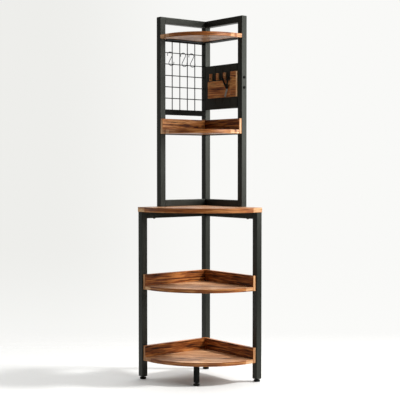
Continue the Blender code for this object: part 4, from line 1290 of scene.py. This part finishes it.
def panel_skin(low, high):
    """The pressed and folded sheet as one closed skin.

    relief = band height * inside the band - groove depth * nearness to a groove.  The fold
    then goes out by r sin t and back by r (1 - cos t).
    """
    width = high[0] - low[0]
    grooves = np.array(GROOVE_SHARES) * width
    band = np.array(BAND_SHARES) * width
    band_top = BAND_LOW + BAND_HEIGHT
    groove_foot = band_top + GROOVE_WIDTH
    x = gathered(width, LINES_ACROSS, [*grooves, *band], GROOVE_WIDTH)
    z = gathered(high[2] - low[2], LINES_UP, [BAND_LOW, band_top, groove_foot], BAND_SOFT)
    grid_x, grid_z = np.meshgrid(x, z)
    away = np.min(np.abs(grid_x[..., None] - grooves), axis=-1)
    groove = 1 - soft_step(away, GROOVE_WIDTH * GROOVE_FLAT_SHARE, GROOVE_WIDTH * GROOVE_SLOPE_SHARE)
    groove *= soft_step(grid_z, groove_foot, groove_foot + GROOVE_WIDTH)
    raised = soft_band(grid_x, *band) * soft_band(grid_z, BAND_LOW, band_top)
    relief = BAND_RELIEF * raised - GROOVE_DEPTH * groove
    rows, columns = grid_x.shape
    index = np.arange(rows * columns).reshape(rows, columns)
    rim = np.concatenate([index[0, :-1], index[:-1, -1], index[-1, :0:-1], index[:0:-1, 0]])
    outward = np.zeros((rows, columns, 2))
    outward[0, :, 1] = -1.0
    outward[-1, :, 1] = 1.0
    outward[:, 0, 0] = -1.0
    outward[:, -1, 0] = 1.0
    rim_out = outward.reshape(-1, 2)[rim]
    front = np.stack([grid_x, relief, grid_z], -1).reshape(-1, 3)
    back = front - np.array([0.0, SHEET, 0.0])
    depth = high[1] - low[1] - BAND_RELIEF
    inner = FOLD_RADIUS - SHEET
    turn = np.linspace(0.0, np.pi / 2, FOLD_STEPS + 1)
    fold = [(FOLD_RADIUS * np.sin(t), FOLD_RADIUS * (1 - np.cos(t))) for t in turn[1:]]
    fold += [(FOLD_RADIUS, depth - HEM_EASE), (FOLD_RADIUS - HEM_EASE, depth),
             (inner + HEM_EASE, depth), (inner, depth - HEM_EASE)]
    fold += [(inner * np.sin(t), FOLD_RADIUS - inner * np.cos(t)) for t in turn[:0:-1]]
    fold = np.array(fold)
    rim_front = front[rim] * np.array([1.0, 0.0, 1.0])
    behind = np.broadcast_to(-fold[:, 1:], (len(fold), len(rim)))
    rings = rim_front[None] + np.stack([fold[:, :1] * rim_out[None, :, 0], behind,
                                        fold[:, :1] * rim_out[None, :, 1]], -1)
    grid_faces = np.stack([index[:-1, :-1], index[:-1, 1:], index[1:, 1:], index[1:, :-1]], -1)
    grid_faces = grid_faces.reshape(-1, 4)
    count = rows * columns
    loop = np.arange(len(rim))
    faces = grid_faces.tolist() + (grid_faces + count).tolist()
    levels = [rim] + [2 * count + level * len(rim) + loop for level in range(len(fold))] + [rim + count]
    for one, two in zip(levels, levels[1:]):
        faces += np.stack([one, np.roll(one, -1), np.roll(two, -1), two], -1).tolist()
    points = np.vstack([front, back, rings.reshape(-1, 3)])
    points = points * np.array([1.0, -1.0, 1.0]) + np.array([low[0], low[1] + BAND_RELIEF, low[2]])
    return {"points": points, "faces": faces, "edge": np.zeros(len(points))}


PANEL_NODES = ["tool_panel"] + [node_name for node_name in frame["nodes"] if node_name.endswith("_fold")]
boxes = np.array([node_box(node_name) for node_name in PANEL_NODES])
panel_low = boxes[:, 0].min(axis=0)
panel_high = boxes[:, 1].max(axis=0)
add_piece("pressed_tool_panel", [panel_skin(panel_low, panel_high)], PANEL_NODES, finish=(PANEL_BLACK,))
print("panel size:", np.round(panel_high - panel_low, 4))

# %% [markdown]
# The twin hook is a cast fork riveted over a bright plate.  Each prong leaves the hub, spreads
# sideways and curves out to a rounded tip, and it thins a little on the way.

# %% Twin hook and its plate
HUB_RADIUS = 0.009
HUB_DEPTH = 0.006
HUB_FLAT = 0.0062
HUB_ROUND = 0.0022
HUB_ROUND_STEPS = 6
HUB_EASE = 0.0004
RIVET_STEPS = ((0.0, 0.0006), (0.0012, 0.0005), (0.0021, 0.0001), (0.0024, -0.0004), (0.0027, -0.0004),
               (0.0032, -0.0001))
PRONG_RADIUS = 0.0045
PRONG_TIP_SHARE = 0.86
PRONG_SPREAD = 0.022
PRONG_RISE = 0.044
PRONG_REACH = 0.006
PRONG_FLARE_POWER = 0.8
PRONG_STEPS = 36
PLATE_TILT = np.radians(20.0)
PLATE_SIZE = np.array([0.012, 0.0015, 0.056])
BRIGHT_PLATE_EASE = 0.0003
BRIGHT_PLATE_CORNER = 0.003

low, high = node_box("twin_hook")
seat = high[1]
hub_x = (low[0] + high[0]) / 2
hub_z = low[2] + HUB_RADIUS
rows = stepped(0.0, HUB_DEPTH, RIVET_STEPS)
rows += arc_rows(HUB_FLAT, HUB_RADIUS, HUB_DEPTH, HUB_DEPTH - HUB_ROUND, HUB_ROUND_STEPS)
rows += [(HUB_RADIUS, HUB_EASE, 0.0), (HUB_RADIUS - HUB_EASE, 0.0, 0.0), (0.0, 0.0, 0.0)]
hub = placed(turned_rings(rows), (hub_x, seat, hub_z), (0.0, -1.0, 0.0))
skins = [ring_skin(hub, caps=False)]
root = np.array([hub_x, seat - HUB_DEPTH / 2 - PRONG_RADIUS / 2, hub_z])
run = np.linspace(0.0, 1.0, PRONG_STEPS)
for side in (-1.0, 1.0):
    path = root + np.column_stack([side * PRONG_SPREAD * run ** PRONG_FLARE_POWER,
                                   -PRONG_REACH * np.sin(run * np.pi / 2), PRONG_RISE * run])
    path, radii = round_tips(path, PRONG_RADIUS * (1 + (PRONG_TIP_SHARE - 1) * run))
    skins.append(ring_skin(swept_rings(path, radii, (0.0, 1.0, 0.0), WIRE_SIDES), caps=False))
add_piece("twin_hook_casting", skins, ["twin_hook"], finish=MATT_AND_PAINTED_SHADE)

low, high = node_box("hook_plate")
plate = eased_box_skin(-PLATE_SIZE / 2, PLATE_SIZE / 2, BRIGHT_PLATE_EASE, axis=1,
                       corner=BRIGHT_PLATE_CORNER)
tilt = np.array([[np.cos(PLATE_TILT), 0.0, np.sin(PLATE_TILT)], [0.0, 1.0, 0.0],
                 [-np.sin(PLATE_TILT), 0.0, np.cos(PLATE_TILT)]])
plate["points"] = plate["points"] @ tilt.T + (low + high) / 2
add_piece("bright_hook_plate", [plate], ["hook_plate"], "bright_steel")
print("twin hook, skins:", len(skins))

# %% [markdown]
# The bolts are button heads with a hexagon socket, and the screws under the counter are pan
# heads with the same socket.  The socket is the same skin as the head: the profile dives in
# from the crown, turns hexagonal, and ends at a pole on the socket's floor.

# %% Bolts and screws
HEAD_HEIGHT = 0.0035
HEAD_RIM = 0.0006
HEAD_EASE = 0.0002
HEAD_STEPS = 7
SOCKET_RADIUS = 0.0021
SOCKET_DEPTH = 0.0016
SOCKET_FLOOR_SHARE = 0.96
SOCKET_HALF_HEX = 0.6
SOCKET_RIM = 0.0003
SHANK_PITCH = 0.0008
SHANK_DEPTH_SHARE = 0.16
SHANK_MARGIN = 0.001
SHANK_TIP = 0.0008
SHANK_TIP_SHARE = 0.6
BOLT_RADIUS = 0.0025
SCREW_RADIUS = 0.0022
INWARD_BOLT = (-1.0, 0.0, 0.0)
UPWARD_SCREW = (0.0, 0.0, 1.0)
FASTENERS = (("panel_lower_bolt", "_socket_head", INWARD_BOLT, BOLT_RADIUS, MATT_AND_PAINTED_SHADE),
             ("panel_upper_bolt", "_socket_head", INWARD_BOLT, BOLT_RADIUS, MATT_AND_PAINTED_SHADE),
             ("left_counter_screw", "_pan_head", UPWARD_SCREW, SCREW_RADIUS, None),
             ("right_counter_screw", "_pan_head", UPWARD_SCREW, SCREW_RADIUS, None))


def fastener_skin(seat, direction, length, radius, head_radius):
    """Head with its socket, then a threaded shank with a chamfered tip."""
    floor = -HEAD_HEIGHT + SOCKET_DEPTH
    rows = [(0.0, floor, 1.0), (SOCKET_RADIUS * SOCKET_FLOOR_SHARE, floor, 1.0),
            (SOCKET_RADIUS, -HEAD_HEIGHT + HEAD_EASE, 1.0),
            (SOCKET_RADIUS + SOCKET_RIM, -HEAD_HEIGHT, SOCKET_HALF_HEX),
            (SOCKET_RADIUS + 2 * SOCKET_RIM, -HEAD_HEIGHT, 0.0)]
    rows += arc_rows(SOCKET_RADIUS + 3 * SOCKET_RIM, head_radius, -HEAD_HEIGHT, -HEAD_RIM, HEAD_STEPS)
    rows += [(head_radius, -HEAD_EASE, 0.0), (head_radius - HEAD_EASE, 0.0, 0.0), (radius, 0.0, 0.0)]
    depth = radius * SHANK_DEPTH_SHARE
    root = radius - depth
    shank = thread_rings(root, depth, SHANK_PITCH, SHANK_MARGIN, length - SHANK_MARGIN, SHANK_MARGIN)[::-1]
    tip = turned_rings([(root, length - SHANK_TIP, 0.0), (radius * SHANK_TIP_SHARE, length, 0.0),
                        (0.0, length, 0.0)])
    rings = np.concatenate([turned_rings(rows), shank, tip])
    return ring_skin(placed(rings, seat, direction), caps=False)


for fastener, ending, direction, radius, finish in FASTENERS:
    low, high = node_box(fastener)
    axis = int(np.argmax(np.abs(direction)))
    near, far = (low, high) if direction[axis] > 0 else (high, low)
    seat = (low + high) / 2
    seat[axis] = near[axis] + HEAD_HEIGHT * direction[axis]
    length = abs(far[axis] - seat[axis])
    head_radius = (high[2 - axis] - low[2 - axis]) / 2
    skin = fastener_skin(seat, direction, length, radius, head_radius)
    add_piece(fastener + ending, [skin], [fastener], finish=finish)
    print(fastener, "length:", round(length, 4), "head radius:", round(head_radius, 4))


# %% [markdown]
# The stage is a white studio: a floor that sweeps up into a backdrop.  No horizon may show, so
# the floor is a plain matt surface near the rack, where it takes the shadow, and farther out
# and behind the rack it becomes see-through to the camera, which then looks straight at the
# backdrop's colour.  It throws less light back at the rack than its colour shows, so that the
# boards' undersides stay dark.

# %% Floor
FLOOR_SIZE = 14.0
FLOOR_CLEAR = 0.0001
FLOOR_ROUGHNESS = 0.7
FLOOR_SHINE = 0.1
FADE_SPAN = (1.0, 2.7)
VIEW_WAY = (-0.78, 0.62, 0.0)
BEHIND_SPAN = (-0.05, 1.40)
FLOOR_COLOUR = paint(219, 219, 217)
FLOOR_BOUNCE = paint(152, 152, 150)


def make_floor():
    """A square floor that fades to nothing for the camera, by its distance from the rack."""
    half = FLOOR_SIZE / 2
    mesh = bpy.data.meshes.new("floor")
    corners = [(-half, -half, -FLOOR_CLEAR), (half, -half, -FLOOR_CLEAR),
               (half, half, -FLOOR_CLEAR), (-half, half, -FLOOR_CLEAR)]
    mesh.from_pydata(corners, [], [(0, 1, 2, 3)])
    floor = bpy.data.objects.new("floor", mesh)
    bpy.context.scene.collection.objects.link(floor)
    material, tree, shader = new_material("Pale floor")
    shader.inputs["Roughness"].default_value = FLOOR_ROUGHNESS
    shader.inputs["Specular IOR Level"].default_value = FLOOR_SHINE
    place = node(tree, "ShaderNodeTexCoord").outputs["Object"]
    reach = node(tree, "ShaderNodeVectorMath", {0: place}, operation="LENGTH").outputs["Value"]
    path = node(tree, "ShaderNodeLightPath").outputs
    seen = maths(tree, "MAXIMUM", path["Is Camera Ray"], path["Is Glossy Ray"])
    tree.links.new(blend_colours(tree, seen, FLOOR_BOUNCE, FLOOR_COLOUR), shader.inputs["Base Color"])
    faded = maths(tree, "MAXIMUM", remap(tree, reach, FADE_SPAN),
                  remap(tree, along_way(tree, place, VIEW_WAY), BEHIND_SPAN))
    gone = node(tree, "ShaderNodeBsdfTransparent").outputs[0]
    mixed = blend_shaders(tree, times(tree, faded, seen), shader.outputs[0], gone)
    tree.links.new(mixed, tree.nodes["Material Output"].inputs["Surface"])
    mesh.materials.append(material)


make_floor()
print("floor side:", FLOOR_SIZE)

# %% [markdown]
# The backdrop is the world itself.  The camera sees a pale sweep that is a little greyer to the
# left and lighter towards the floor.  Reflections see the same sweep straight ahead of the
# camera and a dim room everywhere else.  As a source of light the same world is bright above
# and behind the rack and dim in front of it, as in a studio whose lamps stand to the side and
# back.  That keeps the shaded sides of the lips and posts dark.

# %% World
BACKDROP_RIGHT = paint(249, 249, 247)
BACKDROP_LEFT = paint(238, 238, 235)
BACKDROP_LOW = paint(252, 252, 250)
BACKDROP_SWEEP = (0.6213, 0.7836, 0.0)
SWEEP_SPAN = (-0.15, 0.02)
LOW_SPAN = (-0.07, -0.22)
LIGHT_SIDE = (-0.62, 0.49, 0.61)
LIT_SPAN = (0.12, 0.95)
LIT_STRENGTH = (0.05, 2.4)
AHEAD_SPAN = (0.25, 0.85)
MIRRORED_STRENGTH = (0.12, 1.0)


def make_world():
    """Directional world: a pale sweep to the camera, a shaped soft light to everything else."""
    world = bpy.data.worlds.new("Studio sweep")
    bpy.context.scene.world = world
    world.use_nodes = True
    tree = world.node_tree
    tree.nodes.clear()
    way = node(tree, "ShaderNodeTexCoord").outputs["Generated"]
    side = along_way(tree, way, BACKDROP_SWEEP)
    up = node(tree, "ShaderNodeSeparateXYZ", {0: way}).outputs["Z"]
    sweep = blend_colours(tree, remap(tree, side, SWEEP_SPAN), BACKDROP_LEFT, BACKDROP_RIGHT)
    sweep = blend_colours(tree, remap(tree, up, LOW_SPAN), sweep, BACKDROP_LOW)
    strength = remap(tree, along_way(tree, way, LIGHT_SIDE), LIT_SPAN, LIT_STRENGTH)
    ahead = remap(tree, along_way(tree, way, VIEW_WAY), AHEAD_SPAN, MIRRORED_STRENGTH)
    shown = node(tree, "ShaderNodeBackground", {"Color": sweep, "Strength": 1.0}).outputs[0]
    lit = node(tree, "ShaderNodeBackground", {"Strength": strength}).outputs[0]
    mirrored = node(tree, "ShaderNodeBackground", {"Color": sweep, "Strength": ahead}).outputs[0]
    path = node(tree, "ShaderNodeLightPath").outputs
    seen = maths(tree, "MAXIMUM", path["Is Camera Ray"], path["Is Transmission Ray"])
    mixed = blend_shaders(tree, path["Is Glossy Ray"], lit, mirrored)
    mixed = blend_shaders(tree, seen, mixed, shown)
    out = tree.nodes.new("ShaderNodeOutputWorld")
    tree.links.new(mixed, out.inputs["Surface"])


make_world()
print("world:", bpy.context.scene.world.name)

# %% [markdown]
# Four lamps shape the rack.  The key softbox, high on the right, throws the lips' crisp shadows
# and the shelves' shadows on the floor.  The side one, in front on the right, lights the faces
# that look that way.  The rim one is mirrored in the posts' right faces, which gives the steel
# its grey sheen, and a weak fill does the same for their left faces.  A lamp's size sets how
# soft a shadow's edge is.

# %% Lamps


def add_softbox(name, aim_height, bearing, elevation, distance, size, power):
    """A lamp that looks at a height of the rack's middle line from a bearing, +X towards +Y."""
    data = bpy.data.lights.new(name, "AREA")
    data.shape = "RECTANGLE"
    data.size, data.size_y = size
    data.energy = power
    lamp = bpy.data.objects.new(name, data)
    bearing = np.radians(bearing)
    elevation = np.radians(elevation)
    level = np.cos(elevation)
    way = Vector((level * np.cos(bearing), level * np.sin(bearing), np.sin(elevation)))
    lamp.location = Vector((0.0, 0.0, aim_height)) + way * distance
    lamp.rotation_euler = way.to_track_quat("Z", "Y").to_euler()
    lamp.visible_camera = False
    bpy.context.scene.collection.objects.link(lamp)
    print(name, "stands at", [round(value, 2) for value in lamp.location])


add_softbox("key softbox", aim_height=0.13, bearing=53.0, elevation=47.0, distance=8.0,
            size=(0.9, 0.9), power=575.0)
add_softbox("side softbox", aim_height=1.35, bearing=9.0, elevation=5.0, distance=2.4,
            size=(1.0, 1.0), power=21.0)
add_softbox("rim softbox", aim_height=1.35, bearing=46.0, elevation=0.0, distance=2.1,
            size=(0.9, 1.3), power=16.5)
add_softbox("fill softbox", aim_height=0.9, bearing=-125.0, elevation=0.0, distance=1.3,
            size=(0.3, 1.5), power=1.5)
